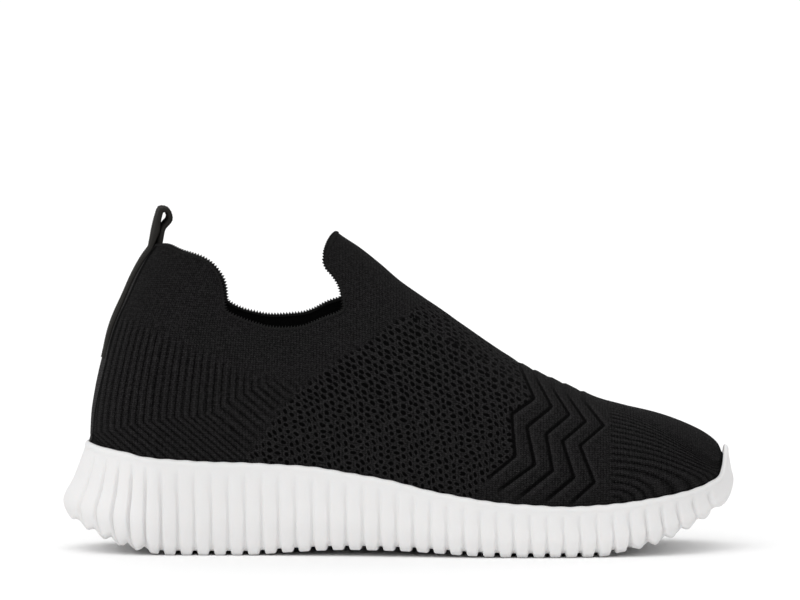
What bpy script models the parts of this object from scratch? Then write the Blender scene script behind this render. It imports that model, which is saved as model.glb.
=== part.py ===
"""A slip-on knitted sneaker, the right shoe of a pair, standing empty on its sole.

+X points to the toe, +Y to the inner (medial) side of the foot and +Z up. The origin is at the
middle of the shoe's length and width, on the floor. Lengths are in metres.
"""

import math

import bpy
import numpy as np

# Overall sizes of the shoe
LENGTH = 0.272  # sole, from the heel's bulge to the toe's
BALL_WIDTH = 0.089  # upper, across the ball of the foot
INSTEP_HEIGHT = 0.1285  # tip of the front tab
HEEL_HEIGHT = 0.1232  # top edge of the heel tab
SOLE_HEIGHT = 0.0440  # edge of the sole at the back of the heel

# Plan of the upper where it enters the sole
HEEL_FLARE = 0.0109  # how far the sole's bulge stands behind the upper
TOE_FLARE = 0.0043  # how far it stands ahead of the toe
SIDE_FLARE = 0.0042  # how far it stands out along the sides
HEEL_ROUND = 0.028
TOE_ROUND = 0.046
TOE_SQUARE = 2.3  # exponent of the toe's round, where 2 is an ellipse

# Upper
WALL = 0.0022
SEAT = 0.00035  # clearance where curved pieces meet
BELLY = 0.05  # how far the knit bulges between the sole and the top line, as a share

# Sole
VALLEYS = 39  # between the ribs of one side
FIRST_VALLEY = 0.0241  # share of LENGTH, where the plain back of the heel ends
LAST_VALLEY = 0.9680  # share of LENGTH, where the plain tip of the toe starts
RIB_DEPTH = 0.0019
VALLEY = 0.14  # width of a valley, as a share of the ribs' pitch
FLANK = 0.13  # width of each flank, as a share of the pitch
NOTCH_DEPTH = 0.0017
NOTCH_FLANK = 0.06
RIM_WIDTH = 0.0021  # how far the sole's top edge stands out from the upper
RIM_BAND = 0.0026  # height of the plain band above the ribs

# Insole
INSOLE_THICKNESS = 0.0035

# Heel tape with its pull loop
TAPE_WIDTH = 0.020
TAPE_THICKNESS = 0.0011
TAPE_FOOT = 0.078  # height at which the tape starts
TAPE_TAIL = 0.012  # length of the tape's end inside the heel
LOOP_THICKNESS = 0.0026
LOOP_TWIST = math.radians(2)
LOOP_EASE = 1.5  # how soon the tape flattens where it leaves the heel

# Sections of the last, a row for each: the place along LENGTH, then the lateral and the medial
# half-width and the lean of the top line to the medial side as shares of BALL_WIDTH, and the
# exponent of the section's arch
LAST_COLUMNS = ("at", "lateral", "medial", "lean", "arch")
LAST = (
    (0.04, 0.325, 0.325, 0.000, 2.30),
    (0.14, 0.335, 0.335, 0.000, 2.60),
    (0.27, 0.345, 0.318, 0.012, 2.80),
    (0.40, 0.375, 0.292, 0.040, 2.40),
    (0.52, 0.425, 0.312, 0.060, 2.25),
    (0.62, 0.467, 0.380, 0.060, 2.30),
    (0.72, 0.472, 0.450, 0.045, 2.40),
    (0.80, 0.440, 0.475, 0.030, 2.45),
    (0.90, 0.370, 0.462, 0.015, 2.45),
    (0.98, 0.290, 0.430, 0.000, 2.40),
)

# Side view of the sole: the place along LENGTH, then the underside, the bed that the foot rests
# over and the top edge as shares of SOLE_HEIGHT
SOLE_COLUMNS = ("at", "under", "bed", "edge")
SOLE = (
    (0.000, 0.400, 0.775, 1.000),
    (0.015, 0.268, 0.772, 1.000),
    (0.043, 0.173, 0.765, 0.995),
    (0.067, 0.105, 0.752, 0.963),
    (0.095, 0.057, 0.738, 0.940),
    (0.125, 0.023, 0.725, 0.900),
    (0.155, 0.000, 0.712, 0.878),
    (0.270, 0.000, 0.675, 0.848),
    (0.340, 0.030, 0.640, 0.832),
    (0.430, 0.055, 0.555, 0.762),
    (0.500, 0.050, 0.475, 0.680),
    (0.560, 0.032, 0.405, 0.592),
    (0.620, 0.010, 0.345, 0.530),
    (0.680, 0.000, 0.312, 0.486),
    (0.755, 0.000, 0.300, 0.468),
    (0.800, 0.004, 0.308, 0.476),
    (0.829, 0.040, 0.322, 0.490),
    (0.874, 0.086, 0.350, 0.528),
    (0.933, 0.225, 0.420, 0.590),
    (0.963, 0.330, 0.465, 0.650),
    (0.974, 0.380, 0.485, 0.690),
    (0.980, 0.405, 0.492, 0.780),
    (0.984, 0.430, 0.500, 0.945),
    (1.000, 0.560, 0.500, 0.945),
)

# Side view of the upper's top line, from the heel up its back to the top edge of the heel tab,
# then over the opening that the collar cuts away, and down the ridge to the toe: places along
# the upper, and heights as shares of the way from its seat to the top of the heel tab, then to
# the tip of the front tab
HEEL_LINE = (
    (0.0001, 0.0015),
    (0.0003, 0.1226),
    (0.0016, 0.2236),
    (0.0071, 0.3367),
    (0.0206, 0.5126),
    (0.0367, 0.6674),
    (0.0529, 0.7712),
    (0.0686, 0.8712),
    (0.0844, 0.9508),
    (0.0972, 0.9989),
)
RIDGE_LINE = (
    (0.1334, 1.0874),
    (0.1757, 1.2371),
    (0.2298, 1.3009),
    (0.2848, 1.2565),
    (0.3389, 1.1443),
    (0.3897, 1.0000),
    (0.4260, 0.9384),
    (0.4575, 0.8785),
    (0.4893, 0.8145),
    (0.5285, 0.7531),
    (0.5676, 0.6935),
    (0.6153, 0.6213),
    (0.6783, 0.5328),
    (0.7572, 0.4522),
    (0.8197, 0.3954),
    (0.8992, 0.3376),
    (0.9463, 0.2816),
    (0.9776, 0.2280),
    (0.9934, 0.1816),
    (0.9992, 0.1285),
    (0.9998, 0.0679),
    (1.0000, 0.0025),
)

# Side view of the collar's edge, over the heel tab and down to the dip, then along the dip and
# up to the tip of the front tab, in the same shares
COLLAR_HEEL = (
    (0.0741, 0.9904),
    (0.0952, 0.9989),
    (0.1154, 1.0003),
    (0.1419, 0.9654),
    (0.1736, 0.9348),
    (0.1895, 0.9100),
    (0.2001, 0.8823),
    (0.2075, 0.8491),
    (0.2118, 0.8007),
    (0.2144, 0.7412),
)
COLLAR_FRONT = (
    (0.2224, 0.6818),
    (0.2520, 0.6533),
    (0.2870, 0.6414),
    (0.3304, 0.6530),
    (0.3706, 0.6935),
    (0.4014, 0.7336),
    (0.3971, 0.7705),
    (0.3908, 0.8074),
    (0.3802, 0.8442),
    (0.3696, 0.8789),
    (0.3672, 0.9015),
    (0.3706, 0.9395),
    (0.3781, 0.9761),
    (0.3902, 1.0038),
)

# Side view of the pull loop's centre line, free of the upper: places along the upper and heights
# as shares of HEEL_HEIGHT
LOOP = (
    (0.1005, 1.050),
    (0.1067, 1.088),
    (0.1133, 1.110),
    (0.1201, 1.110),
    (0.1249, 1.091),
    (0.1212, 1.060),
    (0.1145, 1.026),
)

# Levels of the sole's side: the share of its height, the share of its bulge beyond the rim, and
# the share of the ribs' depth there
SIDE_LEVELS = (
    (0.00, 0.00, 0.80),
    (0.13, 0.72, 1.00),
    (0.33, 1.00, 1.00),
    (0.62, 0.52, 0.80),
)

# Fineness of the shapes
STATIONS = 43  # sections of the upper
END_CROWD = 0.5  # how much closer the sections stand at the heel and the toe
ARCH_SIDES = 24  # faces across each section
TOP_CROWD = 0.5  # how much closer the faces stand along the top line
FINE = 600  # samples where a curve is measured
ARCH_SAMPLES = 120
COLLAR_POINTS = 64
END_COLUMNS = 7  # columns of the sole's plain back and tip, on each side
INSOLE_POINTS = 60
TAPE_POINTS = 5  # across the tape
TAPE_ROWS = 12  # up the back of the heel
LOOP_ROWS = 14
TAIL_ROWS = 5
HALVINGS = 40


def curve_through(xs, ys, at):
    """Smooth curve through the points, with no overshoot between them."""
    xs, ys = np.asarray(xs, float), np.asarray(ys, float)
    step = np.diff(xs)
    slope = np.diff(ys) / step
    tangent = np.zeros(len(xs))
    before, after = slope[:-1], slope[1:]
    steady = before * after > 0
    tangent[1:-1][steady] = 2 * (before * after)[steady] / (before + after)[steady]
    tangent[0], tangent[-1] = slope[0], slope[-1]
    at = np.clip(np.asarray(at, float), xs[0], xs[-1])
    k = np.clip(np.searchsorted(xs, at) - 1, 0, len(step) - 1)
    t = (at - xs[k]) / step[k]
    left = ys[k] * (1 + 2 * t) * (1 - t) ** 2 + step[k] * tangent[k] * t * (1 - t) ** 2
    right = ys[k + 1] * t**2 * (3 - 2 * t) - step[k] * tangent[k + 1] * t**2 * (1 - t)
    return left + right


def column(table, names, name, x):
    """A table's column at a place x behind or ahead of the middle."""
    rows = np.array(table)
    at = np.asarray(x, float) / LENGTH + 0.5
    return curve_through(rows[:, 0], rows[:, names.index(name)], at)


def path_through(points, count):
    """Points evenly spaced along a smooth path through these."""
    points = np.array(points, float)
    run = np.append(0, np.cumsum(np.linalg.norm(np.diff(points, axis=0), axis=1)))
    fine = np.linspace(0, run[-1], FINE)
    path = np.stack([curve_through(run, points[:, k], fine) for k in range(points.shape[1])], 1)
    return evenly(path, count)


def placed(path, shares):
    """Points of a polyline at these shares of its length."""
    run = np.append(0, np.cumsum(np.linalg.norm(np.diff(path, axis=0), axis=1)))
    at = np.asarray(shares) * run[-1]
    return np.stack([np.interp(at, run, path[:, k]) for k in range(path.shape[1])], 1)


def evenly(path, count):
    """The same polyline with this many points, evenly spaced."""
    return placed(path, np.linspace(0, 1, count))


# Ends of the upper
HEEL_X = HEEL_FLARE - LENGTH / 2
TOE_X = LENGTH / 2 - TOE_FLARE


def end_round(x):
    """1 along the shoe, falling to 0 round its heel and its toe."""
    heel = np.clip(1 - (x - HEEL_X) / HEEL_ROUND, 0, 1)
    toe = np.clip(1 - (TOE_X - x) / TOE_ROUND, 0, 1)
    return np.sqrt(1 - heel**2) * (1 - toe**TOE_SQUARE) ** (1 / TOE_SQUARE)


def half_width(x):
    """Half the upper's width where it enters the sole."""
    wide = column(LAST, LAST_COLUMNS, "lateral", x) + column(LAST, LAST_COLUMNS, "medial", x)
    return wide / 2 * BALL_WIDTH * end_round(x)


def middle(x):
    """Where the middle of the upper lies, before the shoe is centred."""
    apart = column(LAST, LAST_COLUMNS, "medial", x) - column(LAST, LAST_COLUMNS, "lateral", x)
    return apart / 2 * BALL_WIDTH


def flare(x):
    """How far the sole's bulge stands out from the upper."""
    heel = np.clip(1 - (x - HEEL_X) / (5 * HEEL_FLARE), 0, 1) ** 2
    return SIDE_FLARE + (HEEL_FLARE - SIDE_FLARE) * heel


def outline(side):
    """Points of one side of the upper's plan, heel to toe, and the directions out of it."""
    turn = np.linspace(0, math.pi, FINE)
    x = HEEL_X + (TOE_X - HEEL_X) * (1 - np.cos(turn)) / 2
    points = np.stack([x, middle(x) + side * half_width(x)], 1)
    along = np.gradient(points, axis=0)
    along[0] = (0, side)
    along[-1] = (0, -side)
    out = np.stack([-side * along[:, 1], side * along[:, 0]], 1)
    return points, out / np.linalg.norm(out, axis=1, keepdims=True)


def grown(side, distance):
    """The outline, moved out of the upper by a distance for each of its points."""
    points, out = outline(side)
    return points + out * np.broadcast_to(distance, len(points))[:, None]


def sole_bulge(side):
    points, _ = outline(side)
    return grown(side, flare(points[:, 0]))


def centre_y():
    """The middle of the sole's width, which becomes the shoe's y of 0."""
    return (sole_bulge(1)[:, 1].max() + sole_bulge(-1)[:, 1].min()) / 2


CENTRE_Y = centre_y()


def under(x):
    return column(SOLE, SOLE_COLUMNS, "under", x) * SOLE_HEIGHT


def bed(x):
    return column(SOLE, SOLE_COLUMNS, "bed", x) * SOLE_HEIGHT


def edge(x):
    return column(SOLE, SOLE_COLUMNS, "edge", x) * SOLE_HEIGHT


def seat(x):
    """Height of the upper's lower edge, just over the bed."""
    return bed(x) + SEAT


def side_points(table, height):
    """A side view's table as x and z, from the upper's seat to a height."""
    rows = np.array(table)
    x = HEEL_X + (TOE_X - HEEL_X) * rows[:, 0]
    return np.stack([x, seat(x) + rows[:, 1] * (height - seat(x))], 1)


def ladder(name, sides, material):
    """A closed solid from a ring of points for each level: sides[side][level] is an array of
    points from heel to toe. The first and last levels are closed by rungs across."""
    levels = len(sides[0])
    count = len(sides[0][0])
    points = np.concatenate([level for side in sides for level in side])
    faces = []

    def index(side, level, k):
        return (side * levels + level) * count + k

    for level in range(levels - 1):
        for k in range(count - 1):
            for side, order in ((0, 1), (1, -1)):
                quad = [index(side, level, k), index(side, level, k + 1)]
                quad += [index(side, level + 1, k + 1), index(side, level + 1, k)]
                faces.append(quad[::order])
        for k, order in ((0, 1), (count - 1, -1)):
            quad = [index(1, level, k), index(0, level, k)]
            quad += [index(0, level + 1, k), index(1, level + 1, k)]
            faces.append(quad[::order])
    for level, order in ((0, 1), (levels - 1, -1)):
        for k in range(count - 1):
            quad = [index(0, level, k), index(1, level, k)]
            quad += [index(1, level, k + 1), index(0, level, k + 1)]
            faces.append(quad[::order])
    return solid(name, points, faces, material)


def solid(name, points, faces, material):
    mesh = bpy.data.meshes.new(name)
    mesh.from_pydata([tuple(point) for point in points], [], faces)
    mesh.materials.append(material)
    mesh.shade_smooth()
    mesh.set_sharp_from_angle(angle=math.radians(40))
    return bpy.data.objects.new(name, mesh)


def rib_columns(bulge, run, flank):
    """Columns of one side as places along its bulge: the plain back, the two ends of each valley
    and the two edges of the crests beside it, and the plain tip. Tells which lie in a valley."""
    first, last = (FIRST_VALLEY - 0.5) * LENGTH, (LAST_VALLEY - 0.5) * LENGTH
    valley = np.linspace(first, last, VALLEYS)
    pitch = (last - first) / (VALLEYS - 1)
    half, wide = pitch * VALLEY / 2, pitch * flank
    x = np.stack([valley - half - wide, valley - half, valley + half, valley + half + wide], 1)
    at = np.interp(x.ravel(), bulge[:, 0], run)
    shares = (np.arange(END_COLUMNS) + 0.5) / END_COLUMNS
    heel = at[0] * shares
    toe = run[-1] - (run[-1] - at[-1]) * shares[::-1]
    plain = np.zeros(END_COLUMNS)
    in_valley = np.concatenate([plain, np.tile([0, 1, 1, 0], VALLEYS), plain])
    return np.concatenate([heel, at, toe]), in_valley


def sole_points(side, flank, out, height, relief):
    """One level of the sole's side, where out and height are functions of x."""
    bulge = sole_bulge(side)
    run = np.append(0, np.cumsum(np.linalg.norm(np.diff(bulge, axis=0), axis=1)))
    at, in_valley = rib_columns(bulge, run, flank)
    points, away = outline(side)
    x = np.interp(at, run, points[:, 0])
    y = np.interp(at, run, points[:, 1])
    away = np.stack([np.interp(at, run, away[:, k]) for k in (0, 1)], 1)
    grow = out(x) - relief * in_valley
    x_out = x + away[:, 0] * grow
    y_out = y + away[:, 1] * grow - CENTRE_Y
    return np.stack([x_out, y_out, height(x, x_out, in_valley)], 1)


def sole_side(side):
    """The levels of one side of the sole, from the floor over the rim to the bed."""
    levels = []
    for share, bulge, rib in SIDE_LEVELS:
        flank = NOTCH_FLANK if share == 0 else FLANK

        def out(x, bulge=bulge):
            return RIM_WIDTH + (flare(x) - RIM_WIDTH) * bulge

        def height(x, x_out, in_valley, share=share):
            low = under(x_out) + (NOTCH_DEPTH * in_valley if share == 0 else 0)
            return low + share * (edge(x) - RIM_BAND - low)

        levels.append(sole_points(side, flank, out, height, rib * RIB_DEPTH))
    rim = (
        (RIM_WIDTH, lambda x: edge(x) - RIM_BAND),
        (RIM_WIDTH - SEAT, edge),
        (SEAT, edge),
        (SEAT, bed),
    )
    for out, top in rim:
        levels.append(
            sole_points(
                side,
                FLANK,
                lambda x, out=out: np.full(len(x), out),
                lambda x, x_out, in_valley, top=top: top(x),
                0,
            )
        )
    return levels


def make_sole(material):
    return ladder("sole", [sole_side(-1), sole_side(1)], material)


def make_insole(material):
    """The insole, inside the upper's wall and on the sole's bed."""
    inset = -(WALL + 3 * SEAT)
    sides = []
    for side in (-1, 1):
        plan = evenly(grown(side, inset), INSOLE_POINTS)
        plan[:, 1] -= CENTRE_Y
        plan = plan[1:-1]
        low = seat(plan[:, 0])
        high = low + INSOLE_THICKNESS
        sides.append([np.column_stack([plan, low]), np.column_stack([plan, high])])
    return ladder("insole", sides, material)


HEEL_POINTS = side_points(HEEL_LINE, HEEL_HEIGHT)
RIDGE_POINTS = side_points(RIDGE_LINE, INSTEP_HEIGHT)
TOP_PATH = path_through(np.concatenate([HEEL_POINTS, RIDGE_POINTS]), FINE)


def top_line(x):
    return np.interp(x, TOP_PATH[:, 0], TOP_PATH[:, 1])


def section(x, top):
    """Points of one section of the upper, from the lateral side over the top to the medial."""
    low = min(float(seat(x)), top)
    arch = float(column(LAST, LAST_COLUMNS, "arch", x))
    lean = float(column(LAST, LAST_COLUMNS, "lean", x)) * BALL_WIDTH
    angle = np.linspace(0, math.pi / 2, ARCH_SAMPLES)
    up = np.sin(angle) ** (2 / arch)
    wide = np.cos(angle) ** (2 / arch)
    z = low + (top - low) * up
    rim = float(edge(x))
    above = np.clip((z - rim) / max(top - rim, WALL), 0, 1)
    wide = wide * (1 + BELLY * 4 * above * (1 - above)) * float(half_width(x))
    shift = float(middle(x)) - CENTRE_Y + lean * up**2
    shares = np.linspace(0, 1, ARCH_SIDES // 2 + 1)
    shares += TOP_CROWD * np.sin(math.pi * shares) / math.pi
    halves = []
    for side in (-1, 1):
        half = np.column_stack([np.full(len(z), x), shift + side * wide, z])
        halves.append(placed(half, shares))
    return np.concatenate([halves[0], halves[1][-2::-1]])


def upper_sections():
    """The sections of the upper, closer together where the heel and the toe turn."""
    shares = np.linspace(0, 1, STATIONS)
    shares -= END_CROWD * np.sin(2 * math.pi * shares) / (2 * math.pi)
    return [section(x, z) for x, z in placed(TOP_PATH, shares)]


def make_upper(material, cutters):
    """One knitted wall over the whole last, open below and cut open at the collar."""
    rings = upper_sections()
    across = ARCH_SIDES + 1
    points = np.concatenate(rings)
    faces = []
    for station in range(len(rings) - 1):
        for k in range(across - 1):
            first = station * across + k
            faces.append([first, first + across, first + across + 1, first + 1])
    upper = solid("upper", points, faces, material)
    weld = upper.modifiers.new("close the heel and the toe", "WELD")
    weld.merge_threshold = 0.00002
    wall = upper.modifiers.new("knitted wall", "SOLIDIFY")
    wall.thickness = WALL
    wall.offset = -1
    wall.use_even_offset = True
    cut = upper.modifiers.new("collar", "BOOLEAN")
    cut.object = collar_cutter(cutters)
    cut.solver = "EXACT"
    return upper


def collar_cutter(cutters):
    """A block above the collar's edge, as wide as the shoe."""
    heel = side_points(COLLAR_HEEL, HEEL_HEIGHT)
    front = side_points(COLLAR_FRONT, INSTEP_HEIGHT)
    edge_line = path_through(np.concatenate([heel, front]), COLLAR_POINTS)
    high = 2 * max(INSTEP_HEIGHT, HEEL_HEIGHT)
    behind = HEEL_X - HEEL_FLARE
    rim = [(behind, edge_line[0, 1])] + [tuple(point) for point in edge_line]
    tip_x, tip_z = rim[-1]
    rim += [(tip_x + 2 * WALL, tip_z + 2 * WALL), (tip_x + 2 * WALL, high), (behind, high)]
    count = len(rim)
    points = [(x, y, z) for y in (-BALL_WIDTH, BALL_WIDTH) for x, z in rim]
    faces = [list(range(count)), list(range(2 * count - 1, count - 1, -1))]
    faces += [[(k + 1) % count, k, count + k, count + (k + 1) % count] for k in range(count)]
    mesh = bpy.data.meshes.new("collar cutter")
    mesh.from_pydata(points, [], faces)
    cutter = bpy.data.objects.new("collar cutter", mesh)
    cutter.hide_render = True
    cutter.display_type = "WIRE"
    cutters.objects.link(cutter)
    return cutter


def heel_surface(y, z):
    """x of the upper's outer surface round the back of the heel."""
    near = np.full(np.shape(z), HEEL_X)
    far = near + 2 * HEEL_ROUND
    for _ in range(HALVINGS):
        x = (near + far) / 2
        low = seat(x)
        up = np.clip((z - low) / (top_line(x) - low), 0, 1)
        arch = column(LAST, LAST_COLUMNS, "arch", x)
        rim = edge(x)
        above = np.clip((z - rim) / np.maximum(top_line(x) - rim, WALL), 0, 1)
        wide = (1 - up**arch) ** (1 / arch) * half_width(x)
        inside = wide * (1 + BELLY * 4 * above * (1 - above)) > abs(y)
        near, far = np.where(inside, near, x), np.where(inside, x, far)
    return (near + far) / 2


def heel_shell(y, z, out):
    """Points at a distance out of the heel's surface, for arrays of y and z."""
    step = SEAT
    x = heel_surface(y, z)
    by_y = (heel_surface(y + step, z) - heel_surface(y - step, z)) / (2 * step)
    by_z = (heel_surface(y, z + step) - heel_surface(y, z - step)) / (2 * step)
    normal = np.stack([-np.ones_like(x), by_y, by_z], -1)
    normal /= np.linalg.norm(normal, axis=-1, keepdims=True)
    return np.stack([x, y, z], -1) + normal * out


def make_heel_tape(material):
    """Webbing up the back of the heel, which stands up as a loop and ends inside the collar."""
    across = np.linspace(-TAPE_WIDTH / 2, TAPE_WIDTH / 2, TAPE_POINTS)
    mid_y = float(middle(HEEL_X)) - CENTRE_Y
    rows = []
    top = HEEL_HEIGHT - TAPE_THICKNESS
    for z in np.linspace(TAPE_FOOT, top, TAPE_ROWS):
        near = heel_shell(across, np.full(len(across), z), SEAT)
        far = heel_shell(across, np.full(len(across), z), SEAT + TAPE_THICKNESS)
        rows.append((near, far))
    loop = np.array(LOOP) * (TOE_X - HEEL_X, HEEL_HEIGHT) + (HEEL_X, 0)
    loop = path_through(loop, LOOP_ROWS)
    ahead = np.gradient(loop, axis=0)
    ahead /= np.linalg.norm(ahead, axis=1, keepdims=True)
    surface = heel_surface(across, np.full(len(across), top))
    hollow = surface - surface.min()
    free = np.abs(np.linspace(-1, 1, LOOP_ROWS)) ** LOOP_EASE
    for (x, z), (dx, dz), share in zip(loop, ahead, free):
        middle_x = x + across * math.sin(LOOP_TWIST) + hollow * share
        flat = np.stack([middle_x, across * math.cos(LOOP_TWIST), np.full(len(across), z)], 1)
        half = np.array([dz, 0, -dx]) * LOOP_THICKNESS / 2
        rows.append((flat + half, flat - half))
    inside = WALL + 3 * SEAT
    for z in np.linspace(HEEL_HEIGHT, HEEL_HEIGHT - TAPE_TAIL, TAIL_ROWS):
        near = heel_shell(across, np.full(len(across), z), -inside)
        far = heel_shell(across, np.full(len(across), z), -inside - TAPE_THICKNESS)
        rows.append((near, far))
    rings = [np.concatenate([near, far[::-1]]) for near, far in rows]
    around = len(rings[0])
    points = np.concatenate(rings)
    points[:, 1] += mid_y
    faces = []
    for row in range(len(rings) - 1):
        for k in range(around):
            a, b = row * around + k, row * around + (k + 1) % around
            faces.append([a, b, b + around, a + around])
    half = len(across)
    for row, order in ((0, -1), (len(rings) - 1, 1)):
        for k in range(half - 1):
            first = row * around
            quad = [first + k, first + k + 1, first + around - 2 - k, first + around - 1 - k]
            faces.append(quad[::order])
    return solid("heel_pull_tape", points, faces, material)


def material(name, colour, roughness):
    made = bpy.data.materials.new(name)
    made.use_nodes = True
    shader = made.node_tree.nodes["Principled BSDF"]
    shader.inputs["Base Color"].default_value = (*colour, 1)
    shader.inputs["Roughness"].default_value = roughness
    made.diffuse_color = (*colour, 1)
    return made


def clear_scene():
    for old in list(bpy.data.objects):
        bpy.data.objects.remove(old, do_unlink=True)


def main():
    clear_scene()
    shoe = bpy.data.collections.new("slip-on sneaker")
    cutters = bpy.data.collections.new("cutters")
    for group in (shoe, cutters):
        bpy.context.scene.collection.children.link(group)
    foam = material("white foam", (0.80, 0.79, 0.78), 0.55)
    knit = material("black knit", (0.012, 0.012, 0.013), 0.9)
    lining = material("insole cloth", (0.016, 0.016, 0.017), 0.9)
    webbing = material("black webbing", (0.022, 0.021, 0.020), 0.8)
    shoe.objects.link(make_sole(foam))
    shoe.objects.link(make_upper(knit, cutters))
    shoe.objects.link(make_insole(lining))
    shoe.objects.link(make_heel_tape(webbing))


main()
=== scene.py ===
"""Surface, materials, light and camera of the slip-on knitted sneaker, the right shoe of a pair.

+X points to the toe, +Y to the inner (medial) side of the foot and +Z up. Lengths are in metres.
Each pattern of the knit is laid out in side view and carried round the shoe, and the inner side
mirrors the outer one.
"""

import math

import bmesh
import bpy
import numpy as np
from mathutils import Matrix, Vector


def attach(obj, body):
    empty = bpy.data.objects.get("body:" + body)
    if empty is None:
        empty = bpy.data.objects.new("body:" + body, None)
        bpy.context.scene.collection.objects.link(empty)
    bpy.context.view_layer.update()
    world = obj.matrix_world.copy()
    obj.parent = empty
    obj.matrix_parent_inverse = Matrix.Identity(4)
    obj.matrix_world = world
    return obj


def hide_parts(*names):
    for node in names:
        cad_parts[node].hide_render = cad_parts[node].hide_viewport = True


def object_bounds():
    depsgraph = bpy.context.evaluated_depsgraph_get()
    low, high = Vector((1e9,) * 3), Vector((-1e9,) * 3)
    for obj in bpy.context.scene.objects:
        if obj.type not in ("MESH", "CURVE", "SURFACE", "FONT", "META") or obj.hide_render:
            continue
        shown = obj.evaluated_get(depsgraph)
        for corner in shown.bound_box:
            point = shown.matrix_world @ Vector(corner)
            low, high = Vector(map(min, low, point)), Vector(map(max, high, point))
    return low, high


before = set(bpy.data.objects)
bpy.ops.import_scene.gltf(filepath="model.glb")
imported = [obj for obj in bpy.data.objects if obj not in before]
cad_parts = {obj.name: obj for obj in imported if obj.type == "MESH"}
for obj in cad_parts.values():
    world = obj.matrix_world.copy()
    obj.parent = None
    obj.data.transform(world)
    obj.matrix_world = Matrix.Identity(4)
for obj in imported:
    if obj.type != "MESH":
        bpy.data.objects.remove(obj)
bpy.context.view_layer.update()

# Overall sizes of the shoe
LENGTH = 0.272
BALL_WIDTH = 0.089
INSTEP_HEIGHT = 0.1285
HEEL_HEIGHT = 0.1232
SOLE_HEIGHT = 0.0440

# Plan of the upper where it enters the sole
HEEL_FLARE = 0.0109
TOE_FLARE = 0.0043
SIDE_FLARE = 0.0042
HEEL_ROUND = 0.028
TOE_ROUND = 0.046
TOE_SQUARE = 2.3

# Upper
WALL = 0.0022
SEAT = 0.00035
BELLY = 0.05

# Sole
VALLEYS = 39  # between the ribs of one side
FIRST_VALLEY = 0.0241  # share of LENGTH, where the plain back of the heel ends
LAST_VALLEY = 0.9680  # share of LENGTH, where the plain tip of the toe starts
RIB_DEPTH = 0.0019
NOTCH_DEPTH = 0.0017
RIM_WIDTH = 0.0021
RIM_BAND = 0.0026

# Insole
INSOLE_THICKNESS = 0.0035

# Heel tape with its pull loop
TAPE_WIDTH = 0.020
TAPE_THICKNESS = 0.0011
TAPE_FOOT = 0.078  # height at which the tape starts
TAPE_TAIL = 0.012
LOOP_THICKNESS = 0.0020
LOOP_TWIST = math.radians(-4.5)
LOOP_EASE = 1.5

# Sections of the last: place along LENGTH, half-widths and lean as shares of BALL_WIDTH, arch
LAST_COLUMNS = ("at", "lateral", "medial", "lean", "arch")
LAST = (
    (0.04, 0.325, 0.325, 0.000, 2.30),
    (0.14, 0.335, 0.335, 0.000, 2.60),
    (0.27, 0.345, 0.318, 0.012, 2.80),
    (0.40, 0.375, 0.292, 0.040, 2.40),
    (0.52, 0.425, 0.312, 0.060, 2.25),
    (0.62, 0.467, 0.380, 0.060, 2.30),
    (0.72, 0.472, 0.450, 0.045, 2.40),
    (0.80, 0.440, 0.475, 0.030, 2.45),
    (0.90, 0.370, 0.462, 0.015, 2.45),
    (0.98, 0.290, 0.430, 0.000, 2.40),
)

# Side view of the sole: place along LENGTH, underside, bed and edge as shares of SOLE_HEIGHT
SOLE_COLUMNS = ("at", "under", "bed", "edge")
SOLE = (
    (0.000, 0.400, 0.775, 1.000),
    (0.015, 0.268, 0.772, 1.000),
    (0.043, 0.173, 0.765, 0.995),
    (0.067, 0.105, 0.752, 0.963),
    (0.095, 0.057, 0.738, 0.940),
    (0.125, 0.023, 0.725, 0.900),
    (0.155, 0.000, 0.712, 0.878),
    (0.270, 0.000, 0.675, 0.848),
    (0.340, 0.030, 0.640, 0.832),
    (0.430, 0.055, 0.555, 0.762),
    (0.500, 0.050, 0.475, 0.680),
    (0.560, 0.032, 0.405, 0.592),
    (0.620, 0.010, 0.345, 0.530),
    (0.680, 0.000, 0.312, 0.486),
    (0.755, 0.000, 0.300, 0.468),
    (0.800, 0.004, 0.308, 0.476),
    (0.829, 0.040, 0.322, 0.490),
    (0.874, 0.086, 0.350, 0.528),
    (0.933, 0.225, 0.420, 0.590),
    (0.963, 0.330, 0.465, 0.650),
    (0.974, 0.380, 0.485, 0.690),
    (0.980, 0.405, 0.492, 0.780),
    (0.984, 0.430, 0.500, 0.945),
    (1.000, 0.560, 0.500, 0.945),
)

# Side view of the upper's top line and of the collar's edge: places along the upper, and heights
# as shares of the way from its seat to the top of the heel tab or the tip of the front tab
HEEL_LINE = (
    (0.0001, 0.0015),
    (0.0003, 0.1226),
    (0.0016, 0.2236),
    (0.0071, 0.3367),
    (0.0206, 0.5126),
    (0.0367, 0.6674),
    (0.0529, 0.7712),
    (0.0686, 0.8712),
    (0.0844, 0.9508),
    (0.0972, 0.9989),
)
RIDGE_LINE = (
    (0.1334, 1.0874),
    (0.1757, 1.2371),
    (0.2298, 1.3009),
    (0.2848, 1.2565),
    (0.3389, 1.1443),
    (0.3897, 1.0000),
    (0.4260, 0.9384),
    (0.4575, 0.8785),
    (0.4893, 0.8145),
    (0.5285, 0.7531),
    (0.5676, 0.6935),
    (0.6153, 0.6213),
    (0.6783, 0.5328),
    (0.7572, 0.4522),
    (0.8197, 0.3954),
    (0.8992, 0.3376),
    (0.9463, 0.2816),
    (0.9776, 0.2280),
    (0.9934, 0.1816),
    (0.9992, 0.1285),
    (0.9998, 0.0679),
    (1.0000, 0.0025),
)
COLLAR_HEEL = (
    (0.0741, 0.9904),
    (0.0952, 0.9989),
    (0.1154, 0.9992),
    (0.1419, 0.9723),
    (0.1736, 0.9450),
    (0.1895, 0.9180),
    (0.2001, 0.8855),
    (0.2075, 0.8491),
    (0.2118, 0.8007),
    (0.2144, 0.7412),
)
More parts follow.
